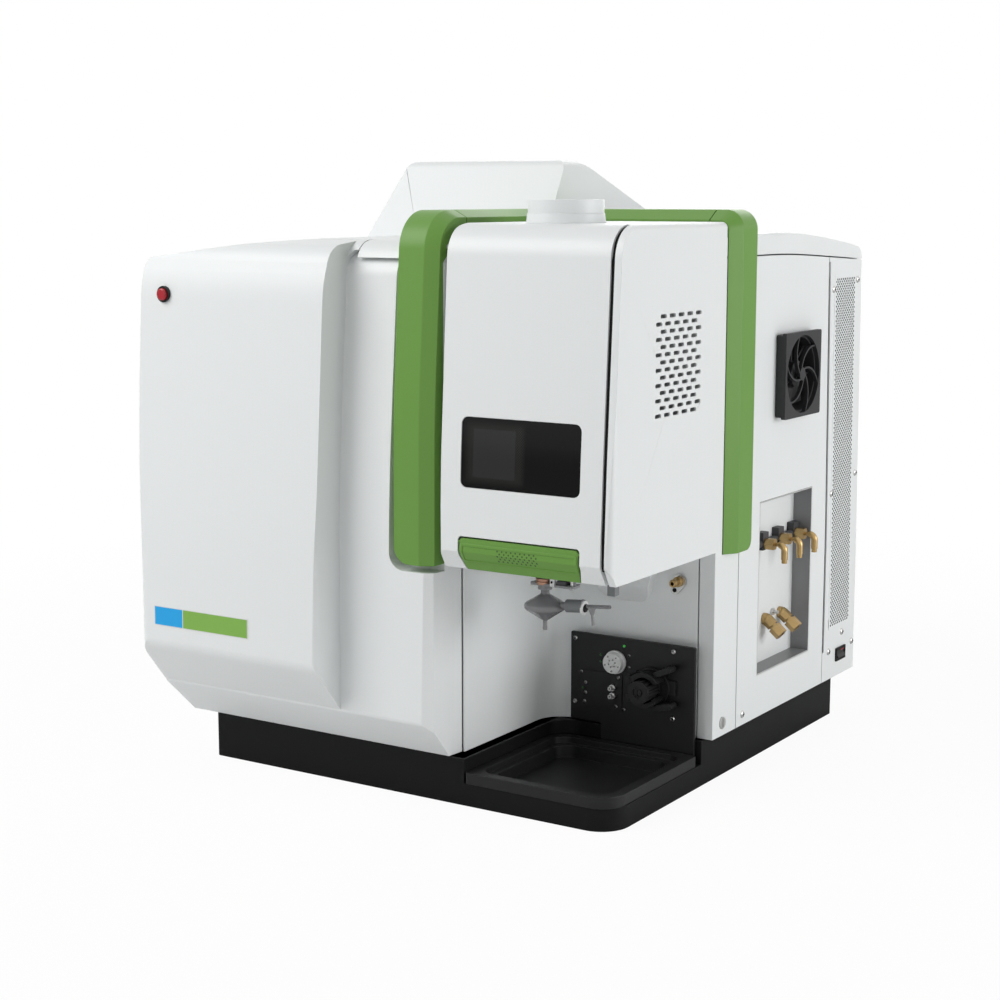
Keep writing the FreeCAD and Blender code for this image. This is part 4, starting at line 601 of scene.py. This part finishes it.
def rearGrille(values):
    # Fine staggered perforations of the rear strip, drawn as black discs of painted shade on a thin skin that
    # follows its lean
    rows, pitch = values["rows"], values["rowPitch"]
    face = values["face"] + values["skin"]
    middleY, middleZ = values["middle"]
    halfWide = (values["columns"] - 0.5) * values["columnPitch"] / 2 + values["margin"]
    halfHigh = (rows - 1) * pitch / 2 + values["margin"]
    corners = []
    for side, level in ((-1, -1), (1, -1), (1, 1), (-1, 1)):
        y = middleY + side * halfWide + level * halfHigh * values["lean"]
        corners.append((face, y, middleZ + level * halfHigh))
    inner = [(values["face"] - 0.0004, y, z) for _, y, z in corners]
    skin = bpy.data.meshes.new("grilleSkin")
    faces = [(0, 1, 2, 3), (7, 6, 5, 4), (1, 0, 4, 5), (2, 1, 5, 6), (3, 2, 6, 7), (0, 3, 7, 4)]
    skin.from_pydata(corners + inner, [], faces)
    newPiece("grilleSkin", skin, bodyOf("rear_strip"), ["whitePaint"])
    holes = treeMesh("grilleHoles", holeRows, {
        "Columns": values["columns"], "Rows": rows, "Column Pitch": values["columnPitch"], "Row Pitch": pitch,
        "Stagger": values["columnPitch"] / 2, "Lean": values["lean"], "Radius": values["radius"],
        "Depth": 0.0004, "Place": (face, middleY - values["columnPitch"] / 4, middleZ),
        "Turn": (quarter, 0.0, quarter), "Finish": finishes["holeShade"],
    })
    newPiece("grilleHoles", holes, bodyOf("rear_strip"), [])


rearGrille(grilleValues)

dimpleValues = {"columns": 9, "rows": 5, "columnPitch": 0.0066, "rowPitch": 0.0033, "radius": 0.00125,
                "middle": (0.1985, 0.3405)}


def handleDimples(values):
    # The dimples are dark green discs: painted shade inside the dimples
    middleX, middleZ = values["middle"]
    mesh = treeMesh("handleDimples", holeRows, {
        "Columns": values["columns"], "Rows": values["rows"], "Column Pitch": values["columnPitch"],
        "Row Pitch": values["rowPitch"], "Stagger": values["columnPitch"] / 2, "Radius": values["radius"],
        "Depth": 0.0004, "Place": (middleX, 0.0, middleZ), "Turn": (quarter, 0.0, 0.0),
        "Finish": finishes["dimpleShade"],
    })
    drape(mesh, "door_handle", 1, 1)
    newPiece("handleDimples", mesh, bodyOf("door_handle"), [])


handleDimples(dimpleValues)

handleRimValues = {"inset": 0.0009, "width": 0.0042, "crease": 0.3285, "thick": 0.0008, "bevel": 0.00035,
                   "left": 0.1156, "right": 0.2871, "top": 0.3540, "cornerRadius": 0.0042, "sharp": 50}


def ringPlate(name, outer, inner, thick):
    # A flat frame between two closed outlines of the same number of points, standing at y = -thick
    shape = bmesh.new()
    loops = [[shape.verts.new((x, y, z)) for x, z in outline]
             for outline, y in ((outer, 0.0003), (outer, -thick), (inner, -thick), (inner, 0.0003))]
    count = len(outer)
    for first, second in ((0, 1), (1, 2), (2, 3)):
        for index in range(count):
            after = (index + 1) % count
            near, far = loops[first], loops[second]
            shape.faces.new((near[index], near[after], far[after], far[index]))
    bmesh.ops.recalc_face_normals(shape, faces=shape.faces)
    return shapeMesh(shape, name)


def roundedOutline(left, right, bottom, top, radius, steps=5, edgeSteps=14):
    # Points of a rectangle with rounded corners, with points along its long edges too
    points = []
    corners = ((right - radius, bottom + radius, -90), (right - radius, top - radius, 0),
               (left + radius, top - radius, 90), (left + radius, bottom + radius, 180))
    for index, (x, z, start) in enumerate(corners):
        for step in range(steps + 1):
            angle = math.radians(start + 90 * step / steps)
            points.append((x + radius * math.cos(angle), z + radius * math.sin(angle)))
        nextX, nextZ, nextStart = corners[(index + 1) % 4]
        angle = math.radians(nextStart)
        behind = Vector(points[-1])
        ahead = Vector((nextX + radius * math.cos(angle), nextZ + radius * math.sin(angle)))
        points += [tuple(behind.lerp(ahead, step / edgeSteps)) for step in range(1, edgeSteps)]
    return points


def handleBorder(values):
    out, wide = values["inset"], values["width"]
    left, right, top = values["left"] + out, values["right"] - out, values["top"] - out
    outer = roundedOutline(left, right, values["crease"], top, values["cornerRadius"])
    inner = roundedOutline(left + wide, right - wide, values["crease"] + wide * 0.5, top - wide,
                           values["cornerRadius"] / 3)
    mesh = ringPlate("handleBorder", outer, inner, values["thick"])
    drape(mesh, "door_handle", 1, 1)
    mesh = settled(mesh, [("BEVEL", {"width": values["bevel"], "segments": 2, "limit_method": "ANGLE",
                                     "angle_limit": math.radians(40), "use_clamp_overlap": False})])
    markSharp(mesh, values["sharp"])
    newPiece("handleBorder", mesh, bodyOf("door_handle"), ["greenPaint"])


handleBorder(handleRimValues)


# Services recess: painted back, bare metal walls

recessValues = {"backX": 0.3030, "tolerance": 0.0012, "border": 0.004, "bevel": 0.3}


def recessWalls(values):
    mesh = softMesh("service_recess", values["bevel"])
    piece = newPiece("serviceRecess", mesh, bodyOf("service_recess"),
                     ["whitePaint", "recessMetal", "steelMetal"])
    low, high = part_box("service_recess")
    for face in mesh.polygons:
        facesOut = face.normal.x > 0.9
        inside = all(low[axis] + values["border"] < face.center[axis] < high[axis] - values["border"]
                     for axis in (1, 2))
        if facesOut and abs(face.center.x - values["backX"]) < values["tolerance"]:
            face.material_index = 0
        elif abs(face.normal.x) < 0.3 and not inside:
            face.material_index = 1
        elif inside and face.center.x > values["backX"] + 0.0005:
            face.material_index = 2
    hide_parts("service_recess")


recessWalls(recessValues)
print("recess dressed")


# Valve head screws and ports, as rings of small domes and holes; the holes are black discs of painted shade

def ringRowTree():
    # Small discs round a circle in the local xy plane, local z outwards
    tree, given, out = newTree("ringRow", ("Count",), ("Ring Radius", "Radius", "Height", "Taper"),
                               ("Place", "Turn"), ("Finish",))
    ring = tree.nodes.new("GeometryNodeMeshCircle")
    tree.links.new(given["Count"], ring.inputs["Vertices"])
    tree.links.new(given["Ring Radius"], ring.inputs["Radius"])
    head = tree.nodes.new("GeometryNodeMeshCone")
    head.inputs["Vertices"].default_value = roundSides["screwHead"]
    tree.links.new(given["Radius"], head.inputs["Radius Bottom"])
    tree.links.new(mathNode(tree, "MULTIPLY", given["Radius"], given["Taper"]), head.inputs["Radius Top"])
    tree.links.new(given["Height"], head.inputs["Depth"])
    placedAndDressed(tree, given, copiesOnPoints(tree, ring.outputs["Mesh"], head.outputs["Mesh"]), out)
    return tree


ringRow = ringRowTree()
valveValues = {"x": 0.1920, "z": 0.1550, "screws": 5, "screwRing": 0.0108, "screwRadius": 0.0017,
               "screwHeight": 0.0009, "turn": 0.35}


def valveDetail(values):
    low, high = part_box("valve_head")
    # The sockets are black discs: painted shade inside them
    for name, radius, lift, finish in (("valveScrews", values["screwRadius"], 0.0, "steelMetal"),
                                       ("valveSockets", values["screwRadius"] * 0.5, 0.0003, "holeShade")):
        mesh = treeMesh(name, ringRow, {
            "Count": values["screws"], "Ring Radius": values["screwRing"], "Radius": radius,
            "Height": values["screwHeight"], "Taper": 0.8,
            "Place": (values["x"], low.y + 0.0001 - lift, values["z"]),
            "Turn": (quarter, values["turn"], 0.0), "Finish": finishes[finish],
        })
        newPiece(name, mesh, bodyOf("valve_head"), [])


valveDetail(valveValues)


# Domed screws down the right side, each with a black cross of painted shade for its recess

screwValues = {
    "face": 0.3310, "radius": 0.0052, "height": 0.0026, "recess": 0.0011,
    "places": ((0.2786, 0.6460), (0.3661, 0.6574), (0.2890, 0.3460), (0.3770, 0.3670), (0.3430, 0.1277),
               (0.3825, 0.1056), (0.2944, 0.1059), (0.0010, 0.0780)),
}


def screwRowTree():
    # One domed head on each point of the given mesh, its own z turned outwards, with a black cross of painted
    # shade for its recess
    tree, given, out = newTree("screwRow", (), ("Radius", "Height", "Recess"), ("Turn",),
                               ("Finish", "Recess Shade"))
    ball = tree.nodes.new("GeometryNodeMeshUVSphere")
    ball.inputs["Segments"].default_value = roundSides["screwHead"]
    ball.inputs["Rings"].default_value = roundSides["screwHead"] // 2
    tree.links.new(given["Radius"], ball.inputs["Radius"])
    flat = tree.nodes.new("ShaderNodeCombineXYZ")
    flat.inputs[0].default_value = 1.0
    flat.inputs[1].default_value = 1.0
    tree.links.new(mathNode(tree, "DIVIDE", given["Height"], given["Radius"]), flat.inputs[2])
    dome = tree.nodes.new("GeometryNodeTransform")
    tree.links.new(ball.outputs["Mesh"], dome.inputs["Geometry"])
    tree.links.new(flat.outputs[0], dome.inputs["Scale"])
    domeDress = tree.nodes.new("GeometryNodeSetMaterial")
    tree.links.new(dome.outputs[0], domeDress.inputs["Geometry"])
    tree.links.new(given["Finish"], domeDress.inputs["Material"])
    head = tree.nodes.new("GeometryNodeJoinGeometry")
    tree.links.new(domeDress.outputs[0], head.inputs[0])
    for wide, high in ((1.1, 0.24), (0.24, 1.1)):
        bar = tree.nodes.new("GeometryNodeMeshCube")
        size = tree.nodes.new("ShaderNodeCombineXYZ")
        tree.links.new(mathNode(tree, "MULTIPLY", given["Radius"], wide), size.inputs[0])
        tree.links.new(mathNode(tree, "MULTIPLY", given["Radius"], high), size.inputs[1])
        tree.links.new(given["Recess"], size.inputs[2])
        tree.links.new(size.outputs[0], bar.inputs["Size"])
        raised = tree.nodes.new("GeometryNodeTransform")
        lift = tree.nodes.new("ShaderNodeCombineXYZ")
        tree.links.new(mathNode(tree, "MULTIPLY", given["Height"], 0.78), lift.inputs[2])
        tree.links.new(bar.outputs["Mesh"], raised.inputs["Geometry"])
        tree.links.new(lift.outputs[0], raised.inputs["Translation"])
        barDress = tree.nodes.new("GeometryNodeSetMaterial")
        tree.links.new(raised.outputs[0], barDress.inputs["Geometry"])
        tree.links.new(given["Recess Shade"], barDress.inputs["Material"])
        tree.links.new(barDress.outputs[0], head.inputs[0])
    copies = copiesOnPoints(tree, given["Geometry"], head.outputs[0])
    turned = tree.nodes.new("FunctionNodeEulerToRotation")
    tree.links.new(given["Turn"], turned.inputs[0])
    tree.links.new(turned.outputs[0], copies.inputs["Rotation"])
    real = tree.nodes.new("GeometryNodeRealizeInstances")
    tree.links.new(copies.outputs[0], real.inputs[0])
    smooth = tree.nodes.new("GeometryNodeSetShadeSmooth")
    tree.links.new(real.outputs[0], smooth.inputs[0])
    tree.links.new(smooth.outputs[0], out.inputs[0])
    return tree


screwRow = screwRowTree()


def sideScrews(values):
    points = bpy.data.meshes.new("screwPoints")
    points.from_pydata([(values["face"], y, z) for y, z in values["places"]], [], [])
    mesh = treeMesh("sideScrews", screwRow, {
        "Radius": values["radius"], "Height": values["height"], "Recess": values["recess"],
        "Turn": (quarter, 0.0, quarter), "Finish": finishes["steelMetal"],
        "Recess Shade": finishes["holeShade"],
    }, points)
    piece = newPiece("sideScrews", mesh, bodyOf("side_screws"), [])
    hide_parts("side_screws")


sideScrews(screwValues)


# Painted shade: a black strip in the gap between the torch door and its frame, standing for the gap's shadow

gapShadeValues = {"left": 0.3183, "right": 0.3229, "sink": 0.0030, "thick": 0.0012, "low": 0.3350, "turn": 0.7020,
              "backY": -0.3080, "steps": 48, "topSteps": 12, "beside": 0.004}


def gapShadeLine(values):
    # Points down the outer face of the frame beside the gap, sunk a little
    surface = surfaceOf("torch_box")
    x = values["right"] + values["beside"]
    line = []
    for step in range(values["steps"] + 1):
        z = values["low"] + (values["turn"] - values["low"]) * step / values["steps"]
        hit, normal = surface.ray_cast(Vector((x, -1.0, z)), Vector((0, 1, 0)))[:2]
        if hit is not None:
            line.append((hit.y - normal.y * values["sink"], hit.z - normal.z * values["sink"]))
    startY = line[-1][0]
    for step in range(1, values["topSteps"] + 1):
        y = startY + (values["backY"] - startY) * step / values["topSteps"]
        hit, normal = surface.ray_cast(Vector((x, y, 1.0)), Vector((0, 0, -1)))[:2]
        if hit is not None:
            line.append((hit.y - normal.y * values["sink"], hit.z - normal.z * values["sink"]))
    return line


def doorGapShade(values):
    line = gapShadeLine(values)
    shape = bmesh.new()
    rows = [[shape.verts.new((x, y, z)) for x in (values["left"], values["right"])] for y, z in line]
    for low, high in zip(rows, rows[1:]):
        shape.faces.new((low[0], low[1], high[1], high[0]))
    bmesh.ops.recalc_face_normals(shape, faces=shape.faces)
    mesh = settled(shapeMesh(shape, "doorGapShade"),
                   [("SOLIDIFY", {"thickness": values["thick"], "offset": 0.0})])
    newPiece("doorGapShade", mesh, bodyOf("torch_box"), ["holeShade"])


doorGapShade(gapShadeValues)


# Rocker's red end and the lamps of the pump panel

rockerValues = {"y": (0.3385, 0.3512), "z": (0.1003, 0.1029), "x": (0.3318, 0.3330)}


def boxMesh(name, xs, ys, zs, bevel=0.0):
    shape = bmesh.new()
    corners = [shape.verts.new((x, y, z)) for x in xs for y in ys for z in zs]
    for face in ((0, 1, 3, 2), (4, 6, 7, 5), (0, 4, 5, 1), (2, 3, 7, 6), (0, 2, 6, 4), (1, 5, 7, 3)):
        shape.faces.new([corners[index] for index in face])
    bmesh.ops.recalc_face_normals(shape, faces=shape.faces)
    if bevel:
        bmesh.ops.bevel(shape, geom=list(shape.edges), offset=bevel, segments=2, affect="EDGES", profile=0.5)
    return shapeMesh(shape, name)


newPiece("rockerMark", boxMesh("rockerMark", rockerValues["x"], rockerValues["y"], rockerValues["z"], 0.0003),
         bodyOf("rocker_key"), ["redPlastic"])


def panelLamps():
    # The top lamp is lit, the others are dark
    mesh = softMesh("indicator_lamps", 0.0)
    piece = newPiece("panelLamps", mesh, bodyOf("indicator_lamps"), ["darkLamp", "greenLamp"])
    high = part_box("indicator_lamps")[1].z
    for face in mesh.polygons:
        face.material_index = 1 if face.center.z > high - 0.004 else 0
    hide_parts("indicator_lamps")


panelLamps()


# Glassware: clamp, sleeve rings, hose port

def turnedMesh(name, profile, start, way, sides=roundSides["turned"]):
    # A body turned about a line: profile gives distance along it and radius there
    axis = Vector(way).normalized()
    across = axis.orthogonal().normalized()
    up = axis.cross(across)
    shape = bmesh.new()
    rings = []
    for along, radius in profile:
        centre = Vector(start) + axis * along
        rings.append([shape.verts.new(centre + across * (radius * math.cos(2 * math.pi * side / sides))
                                      + up * (radius * math.sin(2 * math.pi * side / sides)))
                      for side in range(sides)])
    for low, high in zip(rings, rings[1:]):
        for side in range(sides):
            after = (side + 1) % sides
            shape.faces.new((low[side], low[after], high[after], high[side]))
    shape.faces.new(rings[0])
    shape.faces.new(rings[-1])
    bmesh.ops.recalc_face_normals(shape, faces=shape.faces)
    mesh = shapeMesh(shape, name)
    markSharp(mesh, sharpAngle)
    return mesh


def joinedMesh(name, parts):
    # Several meshes as one, each with its own finish by its place in the list
    shape = bmesh.new()
    for index, part in enumerate(parts):
        first = len(shape.faces)
        shape.from_mesh(part)
        shape.faces.ensure_lookup_table()
        for face in shape.faces[first:]:
            face.material_index = index
    return shapeMesh(shape, name)


sleeveValues = {"lean": -5.0, "setIn": 0.0022}   # degrees below level, and metres back from the sleeve's end


def sleeveRings(values):
    # White retaining ring and black seal at the sleeve's outer end
    low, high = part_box("chamber_sleeve")
    lean = math.radians(values["lean"])
    centre = (low + high) / 2
    reach = (high.x - low.x) / 2
    way = Vector((math.cos(lean), 0, math.sin(lean)))
    radius = (high.z - low.z + 2 * reach * way.z) / 2
    end = centre + way * (reach / way.x - values["setIn"])
    white = turnedMesh("ringWhite", ((0.0, radius), (0.0002, radius + 0.0005), (0.0024, radius + 0.0005),
                                     (0.0028, radius - 0.0003)), end, way)
    black = turnedMesh("ringBlack", ((0.0026, radius * 0.62), (0.0034, radius * 0.66),
                                     (0.0046, radius * 0.62), (0.0048, radius * 0.4)), end, way)
    newPiece("sleeveRings", joinedMesh("sleeveRings", [white, black]), bodyOf("chamber_sleeve"),
             ["whitePlastic", "blackPlastic"])


sleeveRings(sleeveValues)

portValues = {"x": 0.2800, "z": 0.2740, "wall": -0.0910, "radius": 0.0050, "bore": 0.0026,
              "nutRadius": 0.0070, "flangeThick": 0.0022, "second": (-0.0065, -0.0125), "wide": 0.0098,
              "narrow": 0.0062, "arcSteps": 12}


def bayPort(values):
    # Brass hose tail on a slanted steel flange with a second hole below it; that hole and the far end of the
    # bore are black discs of painted shade
    x, z, wall = values["x"], values["z"], values["wall"]
    front = wall - values["flangeThick"]
    offX, offZ = values["second"]
    slant = math.atan2(offZ, offX)
    outline = []
    ends = (((x, z), values["wide"], slant + quarter),
            ((x + offX, z + offZ), values["narrow"], slant - quarter))
    for centre, radius, start in ends:
        for step in range(values["arcSteps"] + 1):
            angle = start + math.pi * step / values["arcSteps"]
            outline.append((centre[0] + radius * math.cos(angle), centre[1] + radius * math.sin(angle)))
    shape = bmesh.new()
    face = shape.faces.new([shape.verts.new((px, front, pz)) for px, pz in outline])
    walls = bmesh.ops.extrude_face_region(shape, geom=[face])["geom"]
    for vert in (item for item in walls if isinstance(item, bmesh.types.BMVert)):
        vert.co.y = wall + 0.0002
    bmesh.ops.recalc_face_normals(shape, faces=shape.faces)
    flange = shapeMesh(shape, "portFlange")
    way = (0, -1, 0)
    radius, bore, nut = values["radius"], values["bore"], values["nutRadius"]
    profile = ((0.0, nut), (0.0060, nut), (0.0068, nut - 0.0008), (0.0070, radius), (0.0150, radius),
               (0.0155, radius + 0.0006), (0.0170, radius + 0.0006), (0.0174, radius),
               (0.0194, radius - 0.0003), (0.0196, bore), (0.0100, bore), (0.0099, 0.0001))
    tail = turnedMesh("portTail", profile, (x, front, z), way)
    hole = turnedMesh("portHole", ((0.0, 0.0030), (0.0006, 0.0030), (0.0008, 0.0022)),
                      (x + offX, front, z + offZ), way)
    dark = turnedMesh("portBore", ((0.0, bore * 0.98), (0.0003, bore * 0.98)), (x, front - 0.0104, z), way)
    piece = newPiece("bayPort", joinedMesh("bayPort", [flange, tail, hole, dark]), bodyOf("bay_port"),
                     ["steelMetal", "brassMetal", "holeShade", "holeShade"])
    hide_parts("bay_port")


bayPort(portValues)

clampValues = {
    "x": 0.1860, "y": -0.2800, "ringLow": 0.2925, "ringRadius": 0.0122, "eyeHeight": 0.2985,
    "latch": ((0.2000, 0.2065), (-0.2925, -0.2880), (0.2925, 0.3035)),
    "spring": ((0.2095, 0.2215), (-0.2905, -0.2700), (0.2950, 0.3010)),
    "knob": (0.2270, 0.0042, 0.2895, 0.3050),
}


def glassClamp(values):
    # Copper ring on the neck, steel plates, a white latch, a dark bridge and a thumb screw
    wide, groove, neck = values["ringRadius"], values["ringRadius"] - 0.0012, 0.0100
    profile = ((0.0, neck), (0.0006, wide), (0.0040, wide), (0.0046, groove), (0.0058, groove),
               (0.0064, wide), (0.0080, wide), (0.0085, neck))
    ring = turnedMesh("clampRing", profile, (values["x"], values["y"], values["ringLow"]), (0, 0, 1))
    latch = boxMesh("clampLatch", *values["latch"], 0.0008)
    low, high = values["latch"][0]
    # The latch's eye is a black disc of painted shade
    eye = turnedMesh("clampEye", ((0.0, 0.0016), (0.0005, 0.0016)),
                     ((low + high) / 2, values["latch"][1][0] + 0.0001, values["eyeHeight"]), (0, -1, 0),
                     roundSides["screwHead"])
    bridge = boxMesh("clampBridge", *values["spring"], 0.0010)
    knobX, knobRadius, knobLow, knobHigh = values["knob"]
    knob = turnedMesh("clampKnob", ((0.0, knobRadius * 0.6), (0.0010, knobRadius), (0.0050, knobRadius),
                                    (0.0056, knobRadius * 0.5), (knobHigh - knobLow, knobRadius * 0.5)),
                      (knobX, values["y"] - 0.003, knobLow), (0, 0, 1), roundSides["knob"])
    mesh = joinedMesh("glassClamp", [ring, latch, eye, bridge, knob])
    newPiece("glassClamp", mesh, bodyOf("chamber_clamp"),
             ["copperMetal", "whitePlastic", "holeShade", "darkGreyPlastic", "steelMetal"])


glassClamp(clampValues)
print("details placed")


# Studio

def areaLamp(label, values):
    data = bpy.data.lights.new(label + "Lamp", "AREA")
    data.shape = "SQUARE"
    data.size = values[label + "Size"]
    data.energy = values[label + "Power"]
    lamp = bpy.data.objects.new(label + "Lamp", data)
    bpy.context.scene.collection.objects.link(lamp)
    lamp.location = values[label + "Place"]
    aim = Vector(values["aim"]) - lamp.location
    lamp.rotation_mode = "QUATERNION"
    lamp.rotation_quaternion = aim.to_track_quat("-Z", "Y")


for label in ("key", "fill", "top", "front", "back"):
    areaLamp(label, lightValues)


def paleWorld():
    world = bpy.data.worlds.new("studio")
    bpy.context.scene.world = world
    world.use_nodes = True
    tree = world.node_tree
    lit = tree.nodes["Background"]
    lit.inputs["Color"].default_value = (1, 1, 1, 1)
    lit.inputs["Strength"].default_value = lightValues["worldStrength"]
    shown = tree.nodes.new("ShaderNodeBackground")
    shown.inputs["Color"].default_value = (1, 1, 1, 1)
    shown.inputs["Strength"].default_value = 1.0
    rays = tree.nodes.new("ShaderNodeLightPath")
    either = rays.outputs["Is Camera Ray"]
    for label in ("Is Glossy Ray", "Is Transmission Ray"):
        either = mathNode(tree, "MAXIMUM", either, rays.outputs[label])
    mix = tree.nodes.new("ShaderNodeMixShader")
    tree.links.new(either, mix.inputs["Fac"])
    tree.links.new(lit.outputs[0], mix.inputs[1])
    tree.links.new(shown.outputs[0], mix.inputs[2])
    tree.links.new(mix.outputs[0], tree.nodes["World Output"].inputs["Surface"])


paleWorld()


def paleFloor(values):
    # Lit near the object, so that its shadow shows, and as white as the background further out
    mesh = bpy.data.meshes.new("floor")
    half = values["half"]
    corners = [(-half, -half, 0), (half, -half, 0), (half, half, 0), (-half, half, 0)]
    mesh.from_pydata(corners, [], [(0, 1, 2, 3)])
    floor = bpy.data.objects.new("floor", mesh)
    bpy.context.scene.collection.objects.link(floor)
    material, tree, shader = newMaterial("paleFloor")
    shader.inputs["Base Color"].default_value = (*[values["tone"]] * 3, 1)
    shader.inputs["Roughness"].default_value = values["roughness"]
    shader.inputs["Specular IOR Level"].default_value = values["specular"]
    shown = tree.nodes.new("ShaderNodeEmission")
    shown.inputs["Strength"].default_value = 1.0
    rays = tree.nodes.new("ShaderNodeLightPath")
    mix = tree.nodes.new("ShaderNodeMixShader")
    place = tree.nodes.new("ShaderNodeTexCoord")
    away = tree.nodes.new("ShaderNodeVectorMath")
    away.operation = "LENGTH"
    tree.links.new(place.outputs["Object"], away.inputs[0])
    clear = tree.nodes.new("ShaderNodeMapRange")
    for label, key in (("From Min", "near"), ("From Max", "far"), ("To Min", "nearShare"),
                       ("To Max", "farShare")):
        clear.inputs[label].default_value = values[key]
    tree.links.new(away.outputs["Value"], clear.inputs["Value"])
    share = mathNode(tree, "MULTIPLY", rays.outputs["Is Camera Ray"], clear.outputs["Result"])
    tree.links.new(share, mix.inputs["Fac"])
    tree.links.new(shader.outputs[0], mix.inputs[1])
    tree.links.new(shown.outputs[0], mix.inputs[2])
    tree.links.new(mix.outputs[0], tree.nodes["Material Output"].inputs["Surface"])
    mesh.materials.append(material)


paleFloor(floorValues)


def photoCamera():
    data = bpy.data.cameras.new("photoCamera")
    data.lens = cameraValues["lens"]
    data.sensor_width = cameraValues["sensor"]
    camera = bpy.data.objects.new("photoCamera", data)
    bpy.context.scene.collection.objects.link(camera)
    camera.location = cameraValues["place"]
    turn = math.radians(cameraValues["azimuth"])
    drop = math.radians(cameraValues["pitch"])
    look = Vector((-math.sin(turn) * math.cos(drop), math.cos(turn) * math.cos(drop), -math.sin(drop)))
    camera.rotation_mode = "QUATERNION"
    camera.rotation_quaternion = look.to_track_quat("-Z", "Y")
    bpy.context.scene.camera = camera


photoCamera()
bpy.context.scene.view_settings.view_transform = "Standard"
print("studio ready")
